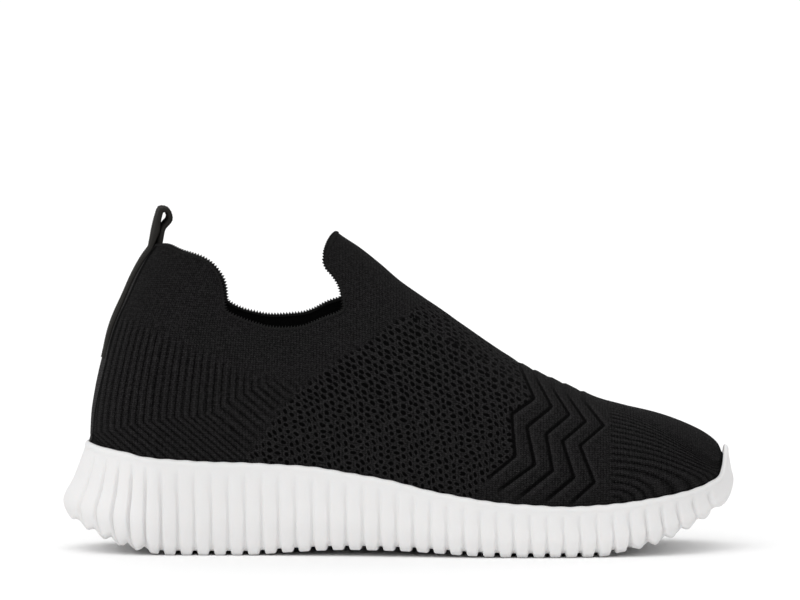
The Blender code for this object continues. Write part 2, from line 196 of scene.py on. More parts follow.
COLLAR_FRONT = (
    (0.2224, 0.6818),
    (0.2520, 0.6533),
    (0.2870, 0.6414),
    (0.3304, 0.6530),
    (0.3706, 0.6935),
    (0.4014, 0.7336),
    (0.3990, 0.7705),
    (0.3948, 0.8074),
    (0.3857, 0.8442),
    (0.3746, 0.8789),
    (0.3722, 0.9015),
    (0.3762, 0.9395),
    (0.3836, 0.9761),
    (0.3920, 1.0028),
)

# Side view of the pull loop's centre line: places along the upper and shares of HEEL_HEIGHT
LOOP = (
    (0.1005, 1.050),
    (0.1064, 1.094),
    (0.1126, 1.119),
    (0.1208, 1.117),
    (0.1254, 1.092),
    (0.1124, 1.056),
    (0.1083, 1.030),
    (0.1046, 1.006),
)

# Levels of the sole's side: share of its height, of its bulge beyond the rim, of the ribs' depth
SIDE_LEVELS = (
    (0.00, 0.00, 0.80),
    (0.13, 0.72, 1.00),
    (0.33, 1.00, 1.00),
    (0.62, 0.52, 0.80),
    (1.00, 0.00, 0.00),
)

# Fineness of curves
FINE = 1200
ARCH_SAMPLES = 160
HALVINGS = 40


def curve_through(xs, ys, at):
    """Smooth curve through the points, with no overshoot between them."""
    xs, ys = np.asarray(xs, float), np.asarray(ys, float)
    step = np.diff(xs)
    slope = np.diff(ys) / step
    tangent = np.zeros(len(xs))
    before, after = slope[:-1], slope[1:]
    steady = before * after > 0
    tangent[1:-1][steady] = 2 * (before * after)[steady] / (before + after)[steady]
    tangent[0], tangent[-1] = slope[0], slope[-1]
    at = np.clip(np.asarray(at, float), xs[0], xs[-1])
    k = np.clip(np.searchsorted(xs, at) - 1, 0, len(step) - 1)
    t = (at - xs[k]) / step[k]
    left = ys[k] * (1 + 2 * t) * (1 - t) ** 2 + step[k] * tangent[k] * t * (1 - t) ** 2
    right = ys[k + 1] * t**2 * (3 - 2 * t) - step[k] * tangent[k + 1] * t**2 * (1 - t)
    return left + right


def smooth(low, high, value):
    """0 below low, 1 above high, eased between them."""
    t = np.clip((value - low) / (high - low), 0, 1)
    return t * t * (3 - 2 * t)


def column(table, names, name, x):
    """A named column of a table of sections, at x."""
    rows = np.array(table)
    at = np.asarray(x, float) / LENGTH + 0.5
    return curve_through(rows[:, 0], rows[:, names.index(name)], at)


def run_along(points):
    """Length of a polyline up to each of its points."""
    return np.append(0, np.cumsum(np.linalg.norm(np.diff(points, axis=0), axis=1)))


def path_through(points, count):
    """Points evenly spaced along a smooth path through these."""
    points = np.array(points, float)
    run = run_along(points)
    fine = np.linspace(0, run[-1], FINE)
    path = np.stack([curve_through(run, points[:, k], fine) for k in range(points.shape[1])], 1)
    return placed(path, np.linspace(0, 1, count))


def placed(path, shares):
    """Points of a polyline at these shares of its length."""
    run = run_along(path)
    at = np.asarray(shares) * run[-1]
    return np.stack([np.interp(at, run, path[:, k]) for k in range(path.shape[1])], 1)


# Ends of the upper
HEEL_X = HEEL_FLARE - LENGTH / 2
TOE_X = LENGTH / 2 - TOE_FLARE


def end_round(x):
    """1 along the shoe, falling to 0 round its heel and its toe."""
    heel = np.clip(1 - (x - HEEL_X) / HEEL_ROUND, 0, 1)
    toe = np.clip(1 - (TOE_X - x) / TOE_ROUND, 0, 1)
    return np.sqrt(1 - heel**2) * (1 - toe**TOE_SQUARE) ** (1 / TOE_SQUARE)


def half_width(x):
    """Half the last's width."""
    wide = column(LAST, LAST_COLUMNS, "lateral", x) + column(LAST, LAST_COLUMNS, "medial", x)
    return wide / 2 * BALL_WIDTH * end_round(x)


def middle(x):
    """How far the middle of the last lies to the inner side."""
    apart = column(LAST, LAST_COLUMNS, "medial", x) - column(LAST, LAST_COLUMNS, "lateral", x)
    return apart / 2 * BALL_WIDTH


def flare(x):
    """How far the sole's bulge stands out from the upper."""
    heel = np.clip(1 - (x - HEEL_X) / (5 * HEEL_FLARE), 0, 1) ** 2
    return SIDE_FLARE + (HEEL_FLARE - SIDE_FLARE) * heel


def outline(side):
    """Points of one side of the upper's plan, heel to toe, and the directions out of it."""
    turn = np.linspace(0, math.pi, FINE)
    x = HEEL_X + (TOE_X - HEEL_X) * (1 - np.cos(turn)) / 2
    points = np.stack([x, middle(x) + side * half_width(x)], 1)
    along = np.gradient(points, axis=0)
    along[0] = (0, side)
    along[-1] = (0, -side)
    out = np.stack([-side * along[:, 1], side * along[:, 0]], 1)
    return points, out / np.linalg.norm(out, axis=1, keepdims=True)


def grown(side, distance):
    """One side of the upper's plan, moved out."""
    points, out = outline(side)
    return points + out * np.broadcast_to(distance, len(points))[:, None]


def sole_bulge(side):
    points, _ = outline(side)
    return grown(side, flare(points[:, 0]))


CENTRE_Y = (sole_bulge(1)[:, 1].max() + sole_bulge(-1)[:, 1].min()) / 2


def under(x):
    return column(SOLE, SOLE_COLUMNS, "under", x) * SOLE_HEIGHT


def bed(x):
    return column(SOLE, SOLE_COLUMNS, "bed", x) * SOLE_HEIGHT


def edge(x):
    return column(SOLE, SOLE_COLUMNS, "edge", x) * SOLE_HEIGHT


def seat(x):
    return bed(x) + SEAT


def side_points(table, height):
    """A side view's table as x and z, from the upper's seat to a height."""
    rows = np.array(table)
    x = HEEL_X + (TOE_X - HEEL_X) * rows[:, 0]
    return np.stack([x, seat(x) + rows[:, 1] * (height - seat(x))], 1)


def side_path(heel_table, front_table, count):
    """Path through a table up to the heel tab's top and one up to the front tab's tip."""
    parts = [side_points(heel_table, HEEL_HEIGHT), side_points(front_table, INSTEP_HEIGHT)]
    return path_through(np.concatenate(parts), count)


TOP_PATH = side_path(HEEL_LINE, RIDGE_LINE, FINE)
COLLAR_PATH = side_path(COLLAR_HEEL, COLLAR_FRONT, 400)


def top_line(x):
    return np.interp(x, TOP_PATH[:, 0], TOP_PATH[:, 1])


def mesh_object(name, points, faces, material, body="root"):
    """A smooth mesh from points and from arrays of quads and triangles, riding on a body."""
    mesh = bpy.data.meshes.new(name)
    sets = [np.asarray(part, np.int32) for part in faces if len(part)]
    loops = np.concatenate([part.ravel() for part in sets])
    sizes = np.concatenate([np.full(len(part), part.shape[1]) for part in sets])
    mesh.vertices.add(len(points))
    mesh.vertices.foreach_set("co", np.asarray(points, np.float32).ravel())
    mesh.loops.add(len(loops))
    mesh.loops.foreach_set("vertex_index", loops)
    mesh.polygons.add(len(sizes))
    mesh.polygons.foreach_set("loop_start", np.append(0, np.cumsum(sizes)[:-1]))
    mesh.update(calc_edges=True)
    mesh.validate()
    mesh.shade_smooth()
    mesh.materials.append(material)
    made = bpy.data.objects.new(name, mesh)
    bpy.context.scene.collection.objects.link(made)
    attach(made, body)
    return made


def grid_faces(rows, columns, closed=False):
    """Quads over a grid of points, row by row, wound so that row x column points out."""
    last = columns if closed else columns - 1
    row, col = np.meshgrid(np.arange(rows - 1), np.arange(last), indexing="ij")
    a = row * columns + col
    b = row * columns + (col + 1) % columns
    return np.stack([a, b, b + columns, a + columns], -1).reshape(-1, 4)


def attribute(thing, name, values):
    """A number for each point, which the materials read by name."""
    layer = thing.data.attributes.new(name, "FLOAT", "POINT")
    layer.data.foreach_set("value", np.asarray(values, np.float32).ravel())


# Fineness of the sole
RIB_COLUMNS = 16
SIDE_ROWS = 30
END_COLUMNS = 20  # on each side of the plain back and the plain tip
CORNER = 0.0013  # round between the side and the underside
RIM_ROUND = 0.0015
RIM_WAVE = 0.00022  # how uneven the rim's top is
CREST_ROUND = 0.00035  # how far a rib's crest falls towards its valleys
SHALLOW = 0.42  # the valleys' depth along the sides, as a share of that at the ends
VALLEY_LOW = 0.26  # half a valley, as a share of half the pitch, under the bulge
VALLEY_REAR = 0.72  # and at the top, on the side of the heel
VALLEY_FORE = 0.34  # and at the top, on the side of the toe
VALLEY_TURN = (0.38, 1.0)  # shares of the height between which the valleys widen to that
PLAIN_RIBS = (1.5, 7)  # ribs at the heel over which that widening sets in
END_RIBS = (3, 8)  # ribs at each end over which the valleys grow shallow
NOTCH_FLOOR = 0.42  # half a notch at its mouth, as a share of half the pitch
NOTCH_TOP = 0.27
LOBE = 0.0024  # how far the underside rises between the lobes of the raised heel and toe
HEEL_LOBES = (-0.38, -0.35)  # shares of LENGTH from the middle over which they set in
TOE_LOBES = (0.33, 0.36)
RIM_STEP = 0.00012  # how far the rim stands out above the ribs
RIM_WAVES = (0.0019, 0.0031, 0.005)  # lengths of the rim's unevenness
RIM_DROP = 0.0006  # how deep the gap beside the upper starts below the rim

# Places of the first and the last valley
FIRST_X = (FIRST_VALLEY - 0.5) * LENGTH
LAST_X = (LAST_VALLEY - 0.5) * LENGTH


def sole_ring(side):
    """Columns along one side of the sole: place on the upper's plan, way out, and phase."""
    bulge = sole_bulge(side)
    run = run_along(bulge)
    pitch = (LAST_X - FIRST_X) / (VALLEYS - 1)
    columns = np.linspace(0, VALLEYS, VALLEYS * RIB_COLUMNS + 1)
    at = np.interp(FIRST_X + pitch * (columns - 0.5), bulge[:, 0], run)
    heel = np.linspace(0, at[0], END_COLUMNS + 1)[:-1]
    toe = np.linspace(at[-1], run[-1], END_COLUMNS + 1)[1:]
    at = np.concatenate([heel, at, toe])
    columns = np.concatenate([0 * heel, columns, 0 * toe + VALLEYS])
    points, away = outline(side)
    place = np.stack([np.interp(at, run, points[:, k]) for k in (0, 1)], 1)
    away = np.stack([np.interp(at, run, away[:, k]) for k in (0, 1)], 1)
    return place, away, columns


def rib_relief(columns, height):
    """Depth of the ribs' surface below their crests, by column and by share of the height."""
    phase = columns % 1 - 0.5
    off = np.abs(phase) * 2
    top = smooth(*VALLEY_TURN, height) * smooth(*PLAIN_RIBS, columns)
    rear = VALLEY_LOW + (VALLEY_REAR - VALLEY_LOW) * top
    fore = VALLEY_LOW + (VALLEY_FORE - VALLEY_LOW) * top
    valley = 1 - smooth(0.02, 1.0, off / np.where(phase < 0, rear, fore))
    levels = np.array(SIDE_LEVELS)
    depth = curve_through(levels[:, 0], levels[:, 2], height) * RIB_DEPTH
    ends = 1 - smooth(*END_RIBS, columns) * smooth(*END_RIBS, VALLEYS - columns)
    depth = depth * (SHALLOW + (1 - SHALLOW) * ends)
    return depth * valley + CREST_ROUND * (1 - off) ** 2 * (1 - smooth(0.8, 1.0, height))


def lobed(x):
    """Where the ribs end as lobes under the raised heel and toe."""
    return 1 - smooth(*HEEL_LOBES, x / LENGTH) + smooth(*TOE_LOBES, x / LENGTH)


def lobe_lift(x):
    """How far the underside rises between two lobes."""
    phase = (x - FIRST_X) / (LAST_X - FIRST_X) * (VALLEYS - 1)
    phase = np.clip(phase, -0.5, VALLEYS - 0.5)
    off = np.abs(phase - np.round(phase)) * 2
    return LOBE * (1 - off) ** 1.6 * lobed(x)


def sole_levels(side):
    """Rows of points up one side of the sole, from the underside over the rim to the bed."""
    place, away, columns = sole_ring(side)
    x = place[:, 0]
    off = np.abs(columns % 1 - 0.5) * 2
    square = 1 - smooth(NOTCH_TOP, NOTCH_FLOOR, off)
    levels = np.array(SIDE_LEVELS)

    def row(out, z, share=1.0):
        out = np.broadcast_to(out, len(x))[:, None]
        flat = place + away * out
        lift = lobe_lift(flat[:, 0]) * (1 - smooth(0.05, 0.5, share))
        return np.column_stack([flat[:, 0], flat[:, 1] - CENTRE_Y, z + lift])

    notch = NOTCH_DEPTH * square * (1 - lobed(x))
    low = under(x + away[:, 0] * RIM_WIDTH) + notch
    top = edge(x) - RIM_BAND
    base = RIM_WIDTH - rib_relief(columns, 0.0)
    rows = [row(base - 4 * CORNER, low, 0.0), row(base - 2 * CORNER, low, 0.0)]
    for turn in np.linspace(0, 1, 5)[:-1]:
        lift = CORNER * (1 - math.cos(turn * math.pi / 2))
        inset = CORNER * (1 - math.sin(turn * math.pi / 2))
        rows.append(row(base - inset, low + lift, 0.0))
    for share in np.linspace(0, 1, SIDE_ROWS + 1):
        z = low + CORNER + share * (top - low - CORNER)
        true = (z - low) / (top - low)
        bulge = (flare(x) - RIM_WIDTH) * curve_through(levels[:, 0], levels[:, 1], true)
        rows.append(row(RIM_WIDTH + bulge - rib_relief(columns, true), z, share))
    first, second, across = RIM_WAVES
    wave = np.sin(x / first) * np.sin(x / second + place[:, 1] / across)
    rim_top = edge(x) + RIM_WAVE * wave
    rows.append(row(RIM_WIDTH + RIM_STEP, top + RIM_BAND * 0.35))
    for turn in np.linspace(0, 1, 6):
        lift = RIM_ROUND * (1 - math.sin(turn * math.pi / 2))
        inset = RIM_ROUND * (1 - math.cos(turn * math.pi / 2))
        rows.append(row(RIM_WIDTH - inset, rim_top - lift))
    rows.append(row(SEAT, rim_top - RIM_DROP))
    rows.append(row(SEAT, bed(x)))
    return rows


def make_sole(material):
    """The moulded sole: ribbed sides, rim, bed, and an underside with a groove at each notch."""
    lateral, medial = sole_levels(-1), sole_levels(1)
    rows = [np.concatenate([a, b[-2:0:-1]]) for a, b in zip(lateral, medial)]
    points = np.concatenate(rows)
    around = len(rows[0])
    faces = [grid_faces(len(rows), around, closed=True)]
    for row, order, rungs in ((0, 1, 8), (len(rows) - 1, -1, 3)):
        near, far = lateral[row], medial[row]
        shares = np.linspace(0, 1, rungs + 1)[:, None, None]
        sheet = near[None] * (1 - shares) + far[None] * shares
        made = grid_faces(rungs + 1, len(near)) + len(points)
        points = np.concatenate([points, sheet.reshape(-1, 3)])
        faces.append(made[:, ::order])
    sole = mesh_object("foam_sole", points, faces, material)
    weld(sole)
    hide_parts("sole")
    return sole


def weld(thing):
    """Joins points that lie on each other, and turns all faces outwards."""
    work = bmesh.new()
    work.from_mesh(thing.data)
    bmesh.ops.remove_doubles(work, verts=work.verts, dist=0.000004)
    bmesh.ops.dissolve_degenerate(work, dist=0.000001, edges=work.edges)
    bmesh.ops.recalc_face_normals(work, faces=work.faces)
    work.to_mesh(thing.data)
    work.free()


# Knit: lines of its chart in side view, as shares of LENGTH and of INSTEP_HEIGHT
GROOVES = (
    ((0.658, 0.688), (0.685, 0.553), (0.701, 0.474), (0.667, 0.426), (0.672, 0.297),
     (0.636, 0.234), (0.606, 0.152)),
    ((0.676, 0.663), (0.706, 0.530), (0.727, 0.448), (0.689, 0.385), (0.701, 0.269),
     (0.648, 0.190), (0.606, 0.121)),
    ((0.703, 0.625), (0.731, 0.496), (0.753, 0.423), (0.718, 0.363), (0.727, 0.250),
     (0.680, 0.171), (0.651, 0.114)),
    ((0.725, 0.593), (0.753, 0.474), (0.777, 0.401), (0.742, 0.341), (0.759, 0.228),
     (0.719, 0.159), (0.688, 0.102)),
    ((0.752, 0.575), (0.776, 0.464), (0.804, 0.389), (0.768, 0.326), (0.789, 0.212),
     (0.761, 0.159), (0.740, 0.114)),
)
GROOVE_STARTS = ((0.600, 0.665), (0.685, 0.562), (0.706, 0.532), (0.731, 0.499), (0.753, 0.475),
                 (0.776, 0.463), (0.850, 0.415))
GROOVE_ENDS = ((0.606, 0.259), (0.636, 0.228), (0.648, 0.190), (0.680, 0.171), (0.719, 0.159),
               (0.761, 0.152), (0.800, 0.143))
MITRE = ((-0.004, 0.341), (0.067, 0.373), (0.106, 0.395), (0.161, 0.414), (0.219, 0.426),
         (0.244, 0.461), (0.277, 0.496), (0.304, 0.524), (0.335, 0.559), (0.398, 0.641))
OPENWORK = ((0.241, 0.215), (0.271, 0.294), (0.316, 0.436), (0.353, 0.515), (0.412, 0.609),
            (0.442, 0.641), (0.479, 0.704), (0.524, 0.767), (0.539, 0.783), (0.561, 0.814))
PLAIN = ((-0.004, 0.810), (0.055, 0.795), (0.083, 0.778), (0.158, 0.702), (0.202, 0.654),
         (0.247, 0.617), (0.283, 0.575), (0.398, 0.549), (0.532, 0.530))
VIEW_TILT = math.radians(4)  # the chart is drawn as the shoe's side shows from just above
MM = 1000  # the knit's layers give distances in millimetres

# Ribs and rows of the knit
WALE_FROM = -0.045  # ahead of here the wales stand upright
HEEL_RIB = 0.0031  # pitch
RIB_SPREAD = 0.65  # share of that pitch which is even in side view, and not round the heel
SLANT = math.radians(40)  # of the heel's lower ribs
TOE_RIB = 0.0029  # pitch
TOE_CAP = 0.8125  # share of LENGTH where the ribs of the toe cap start
GROOVE_SPACING = 0.0062  # outside the first and the last groove
ROW_SLANT = math.radians(27)  # of the openwork's rows
ROW_PITCH = 0.00235
HOLE_PITCH = 0.0034
BORDER_LEAN = 0.62  # distance square to the openwork's border, as a share of that along x
RIDGE_TURN = 0.35  # how much the rows rise towards the ridge
RIDGE_REACH = 0.02

# Ribs of the toe cap: share of the height where one starts, and its reach as a share of LENGTH
TOE_SWEEP = (
    (0.00, 0.000),
    (0.20, 0.045),
    (0.33, 0.070),
    (0.39, 0.096),
    (0.45, 0.118),
    (0.52, 0.138),
    (0.67, 0.160),
    (0.80, 0.171),
    (1.00, 0.180),
)

# Ribbed band up the back of the heel: share of HEEL_HEIGHT, and how far forward it shows
STRIP = ((0.27, 0.0004), (0.41, 0.0012), (0.56, 0.0020), (0.63, 0.0021), (0.69, 0.0017),
         (0.80, 0.0020), (0.94, 0.0019), (1.00, 0.0016))

# How far the knit's forms stand out
HEEL_RELIEF = 0.00026
ZIGZAG_RELIEF = 0.00085
TOE_RELIEF = 0.00036
ROW_RELIEF = 0.00015
SEAT_BULGE = 0.00028  # where the upper enters the sole
SEAT_RISE = 0.002

# Soft folds of the empty upper: place along LENGTH, height as a share of INSTEP_HEIGHT, half its
# length and half its width in the same shares, its slant in degrees, and its depth in BALL_WIDTH
FOLDS = (
    (0.300, 0.640, 0.090, 0.030, -6, -0.0050),
    (0.300, 0.560, 0.100, 0.040, -4, 0.0045),
    (0.430, 0.720, 0.030, 0.090, 24, -0.0060),
    (0.200, 0.600, 0.060, 0.060, 60, -0.0050),
    (0.130, 0.560, 0.030, 0.120, -14, 0.0040),
    (0.570, 0.540, 0.080, 0.030, -30, 0.0050),
    (0.610, 0.400, 0.080, 0.035, -24, -0.0050),
    (0.800, 0.440, 0.040, 0.030, -40, -0.0040),
    (0.870, 0.300, 0.060, 0.040, -20, 0.0040),
    (0.450, 0.420, 0.120, 0.045, -20, -0.0040),
    (0.090, 0.880, 0.030, 0.060, -60, -0.0040),
)

# Collar: how its lateral and its medial side differ, between places along x and heights
TAB_LEAN = 0.85  # how far the heel tab follows the tilted view
TAB_STEP = (-0.0735, -0.0690)
DIP_DROP = 0.0019  # how much lower the lateral side is cut before the front tab
DIP_START = (-0.066, -0.042)
FAR_LIFT = 0.0015  # how much higher the medial side is cut there
LIFT_START = (-0.035, -0.024)
DIP_END = (-0.022, -0.018)
DIP_FADE = (0.095, 0.107)

# Fineness of the upper
STATIONS = 444
ACROSS = 236
CROWD = 0.5  # how much closer the stations lie at the heel and the toe
LINING_GRID = (180, 110)  # stations, and points across
LINING_DEPTH = WALL - 0.0005


CAP_X = (TOE_CAP - 0.5) * LENGTH


def top_x(z):
    """x of the upper's back at a height."""
    rise = TOP_PATH[: int(np.argmax(TOP_PATH[:, 1])) + 1]
    return np.interp(z, rise[:, 1], rise[:, 0])


def form(x, z):
    """Half the upper's width, the middle of it, and the share of the way up, at x and z."""
    low, top = seat(x), top_line(x)
    up = np.clip((z - low) / np.maximum(top - low, 1e-6), 0, 1)
    arch = column(LAST, LAST_COLUMNS, "arch", x)
    above = np.clip((z - edge(x)) / np.maximum(top - edge(x), WALL), 0, 1)
    wide = (1 - up**arch) ** (1 / arch) * half_width(x) * (1 + BELLY * 4 * above * (1 - above))
    lean = column(LAST, LAST_COLUMNS, "lean", x) * BALL_WIDTH
    return wide, middle(x) - CENTRE_Y + lean * up**2, up


def upper_grid(stations, across):
    """Points over the whole last: an arch at each station, from the lateral side to the medial."""
    shares = np.linspace(0, 1, stations)
    shares -= CROWD * np.sin(2 * math.pi * shares) / (2 * math.pi)
    half = across // 2
    angle = np.linspace(0, math.pi / 2, ARCH_SAMPLES)
    rows = []
    for x, top in placed(TOP_PATH, shares):
        low = min(float(seat(x)), top)
        arch = float(column(LAST, LAST_COLUMNS, "arch", x))
        z = low + (top - low) * np.sin(angle) ** (2 / arch)
        wide, shift, _ = form(np.full(len(z), x), z)
        sides = []
        for side in (-1, 1):
            arc = np.column_stack([np.full(len(z), x), shift + side * wide, z])
            sides.append(placed(arc, np.linspace(0, 1, half + 1)))
        rows.append(np.concatenate([sides[0], sides[1][-2::-1]]))
    return np.stack(rows)


def grid_normals(grid):
    """Ways out of the upper's grid."""
    along = np.gradient(grid, axis=0)
    over = np.gradient(grid, axis=1)
    normal = np.cross(over, along)
    size = np.linalg.norm(normal, axis=2, keepdims=True)
    normal = normal / np.maximum(size, 1e-12)
    normal[0] = (-1, 0, 0)
    normal[-1] = (1, 0, 0)
    centre = grid.mean(axis=1, keepdims=True)
    if ((grid - centre) * normal)[grid.shape[0] // 2].sum() < 0:
        normal[1:-1] *= -1
    return normal


def line_at(table, at):
    """Height of one of the chart's lines."""
    rows = np.array(table)
    return np.interp(at, rows[:, 0], rows[:, 1])


def plan_run(x):
    """Length of the upper's outline in plan, from the back of the heel to x."""
    at = HEEL_X + (TOE_X - HEEL_X) * np.linspace(0, 1, FINE) ** 3
    points = np.stack([at, half_width(at)], 1)
    return np.interp(x, at, run_along(points))


def wale_foot(x, z):
    """Where the wale through x and z starts at the sole."""
    back = top_x(z)
    stretched = WALE_FROM - (WALE_FROM - x) * (WALE_FROM - HEEL_X) / (WALE_FROM - back)
    return np.where(x < WALE_FROM, stretched, x)


def wale(x, z):
    """Distance round the shoe from the middle of the heel to the wale through x and z."""
    return plan_run(wale_foot(x, z))


def heel_rib(x, z):
    """Number of the upright rib through x and z. The ribs spread where the heel turns."""
    foot = wale_foot(x, z)
    return (RIB_SPREAD * (foot - HEEL_X) + (1 - RIB_SPREAD) * plan_run(foot)) / HEEL_RIB


def slanted_rib(x, v):
    """Number of the upright rib that turns, at the mitre, into the slanted one through x and v."""
    near, far = np.zeros_like(x), np.full_like(x, LENGTH / 2)
    for _ in range(24):
        t = (near + far) / 2
        at = (x - t * math.cos(SLANT)) / LENGTH + 0.5
        short = v + t * math.sin(SLANT) < line_at(MITRE, at) * INSTEP_HEIGHT
        near, far = np.where(short, t, near), np.where(short, far, t)
    start = x - near * math.cos(SLANT)
    return heel_rib(start, line_at(MITRE, start / LENGTH + 0.5) * INSTEP_HEIGHT)


def toe_rib(x, share):
    """Where a rib through x and this share of the height meets the start of the toe cap."""
    reach = np.array(TOE_SWEEP)
    low, high = np.zeros_like(x), np.full_like(x, 1.3)
    for _ in range(24):
        f = (low + high) / 2
        length = np.interp(f, reach[:, 0], reach[:, 1]) * LENGTH
        t = np.clip((x - CAP_X) / np.maximum(length, 1e-6), 0, 1)
        below = f * np.sqrt(1 - t * t) < share
        low, high = np.where(below, f, low), np.where(below, high, f)
    return f


def line_distance(points, line):
    """Distance from each point to a polyline, and the side it lies on."""
    best = np.full(len(points), 1e9)
    sign = np.zeros(len(points))
    for a, b in zip(line[:-1], line[1:]):
        along = b - a
        t = np.clip((points - a) @ along / (along @ along), 0, 1)
        off = points - a - t[:, None] * along
        d = np.hypot(off[:, 0], off[:, 1])
        turn = along[0] * off[:, 1] - along[1] * off[:, 0]
        closer = d < best
        best = np.where(closer, d, best)
        sign = np.where(closer, np.sign(turn), sign)
    return best, sign


def groove_count(at, up):
    """Rises by one at each zigzag groove, heel to toe, and evenly between two of them."""
    points = np.stack([at * LENGTH, up * INSTEP_HEIGHT], 1)
    gaps = []
    for line in GROOVES:
        d, side = line_distance(points, np.array(line) * (LENGTH, INSTEP_HEIGHT))
        gaps.append(d * side)
    count = 1 + gaps[0] / GROOVE_SPACING
    for k in range(len(GROOVES) - 1):
        before, after = np.abs(gaps[k]), np.abs(gaps[k + 1])
        between = (gaps[k] > 0) & (gaps[k + 1] <= 0)
        count = np.where(between, k + 1 + before / np.maximum(before + after, 1e-9), count)
    return np.where(gaps[-1] > 0, len(GROOVES) + gaps[-1] / GROOVE_SPACING, count)


def tab_rise(x, y, z):
    """How much higher the collar stands at the heel tab's lateral side, and how much lower it
    is cut on that side, and higher on the other, before the front tab."""
    tab = -y * math.tan(VIEW_TILT) * TAB_LEAN * (1 - smooth(*TAB_STEP, x))
    before = 1 - smooth(*DIP_END, x)
    dip = smooth(*DIP_START, x) * before * (y < 0)
    lift = smooth(*LIFT_START, x) * before * (y > 0)
    return tab + (FAR_LIFT * lift - DIP_DROP * dip) * (1 - smooth(*DIP_FADE, z))


def above_collar(x, y, z):
    """Which points lie over the collar's edge, where the opening is."""
    z = z - tab_rise(x, y, z)
    high = 2 * INSTEP_HEIGHT
    tip = COLLAR_PATH[-1]
    rim = np.concatenate([
        [(HEEL_X - HEEL_FLARE, COLLAR_PATH[0, 1])], COLLAR_PATH,
        [tip + 2 * WALL, (tip[0] + 2 * WALL, high), (HEEL_X - HEEL_FLARE, high)],
    ])
    inside = np.zeros(np.shape(x), bool)
    for (x0, z0), (x1, z1) in zip(rim, np.roll(rim, -1, axis=0)):
        if z0 != z1:
            crosses = (z > z0) != (z > z1)
            inside ^= crosses & (x < x0 + (z - z0) * (x1 - x0) / (z1 - z0))
    return inside


def cut_at_collar(grid, layers):
    """The grid without the opening, its edge moved onto the collar's line. Each layer holds a
    value for each point, and follows. Gives points, layers, and quads with triangles."""
    rows, columns = grid.shape[:2]
    points = grid.reshape(-1, 3).copy()
    layers = {name: layer.reshape(-1).copy() for name, layer in layers.items()}
    gone = above_collar(*points.T)
    index = np.arange(rows * columns).reshape(rows, columns)
    pairs = [(index[:-1], index[1:]), (index[:, :-1], index[:, 1:])]
    a = np.concatenate([first.ravel() for first, _ in pairs])
    b = np.concatenate([second.ravel() for _, second in pairs])
    split = gone[a] != gone[b]
    a, b = a[split], b[split]
    kept, lost = np.where(gone[a], b, a), np.where(gone[a], a, b)
    near, far = np.zeros(len(kept)), np.ones(len(kept))
    for _ in range(12):
        t = (near + far) / 2
        at = points[kept] + (points[lost] - points[kept]) * t[:, None]
        out = above_collar(*at.T)
        near, far = np.where(out, near, t), np.where(out, t, far)
    t = (near + far) / 2
    mover = np.where(t < 0.5, kept, lost)
    span = np.minimum(t, 1 - t)
    order = np.argsort(-span)
    source = np.full(len(points), -1)
    source[mover[order]] = order
    moved = np.flatnonzero(source >= 0)
    k = source[moved]
    before = points.copy()
    points[moved] = before[kept[k]] + (before[lost[k]] - before[kept[k]]) * t[k][:, None]
    for name, layer in layers.items():
        old = layer.copy()
        layer[moved] = old[kept[k]] + (old[lost[k]] - old[kept[k]]) * t[k]
    good = ~gone
    good[moved] = True
    quads = grid_faces(rows, columns)
    count = good[quads].sum(1)
    triangles = quads[count == 3]
    lone = (~good[triangles]).argmax(1)[:, None]
    triangles = np.take_along_axis(triangles, (lone + np.arange(1, 4)) % 4, axis=1)
    quads = quads[count == 4]
    used = np.unique(np.concatenate([quads.ravel(), triangles.ravel()]))
    number = np.full(len(points), -1)
    number[used] = np.arange(len(used))
    layers = {name: layer[used] for name, layer in layers.items()}
    return points[used], layers, [number[quads], number[triangles]]


def rounded(phase):
    """A rib's round: 0 in the groove at each whole number, 1 on the crest."""
    return np.abs(np.sin(math.pi * phase)) ** 0.7


def cap_girth():
    """Shares of the height where the toe cap starts, and the girths from the ridge to them."""
    top = float(top_line(CAP_X))
    z = np.linspace(float(edge(CAP_X)), top, 400)
    wide, _, _ = form(np.full(len(z), CAP_X), z)
    run = run_along(np.stack([wide, z], 1))
    return (z - z[0]) / (top - z[0]), run[-1] - run


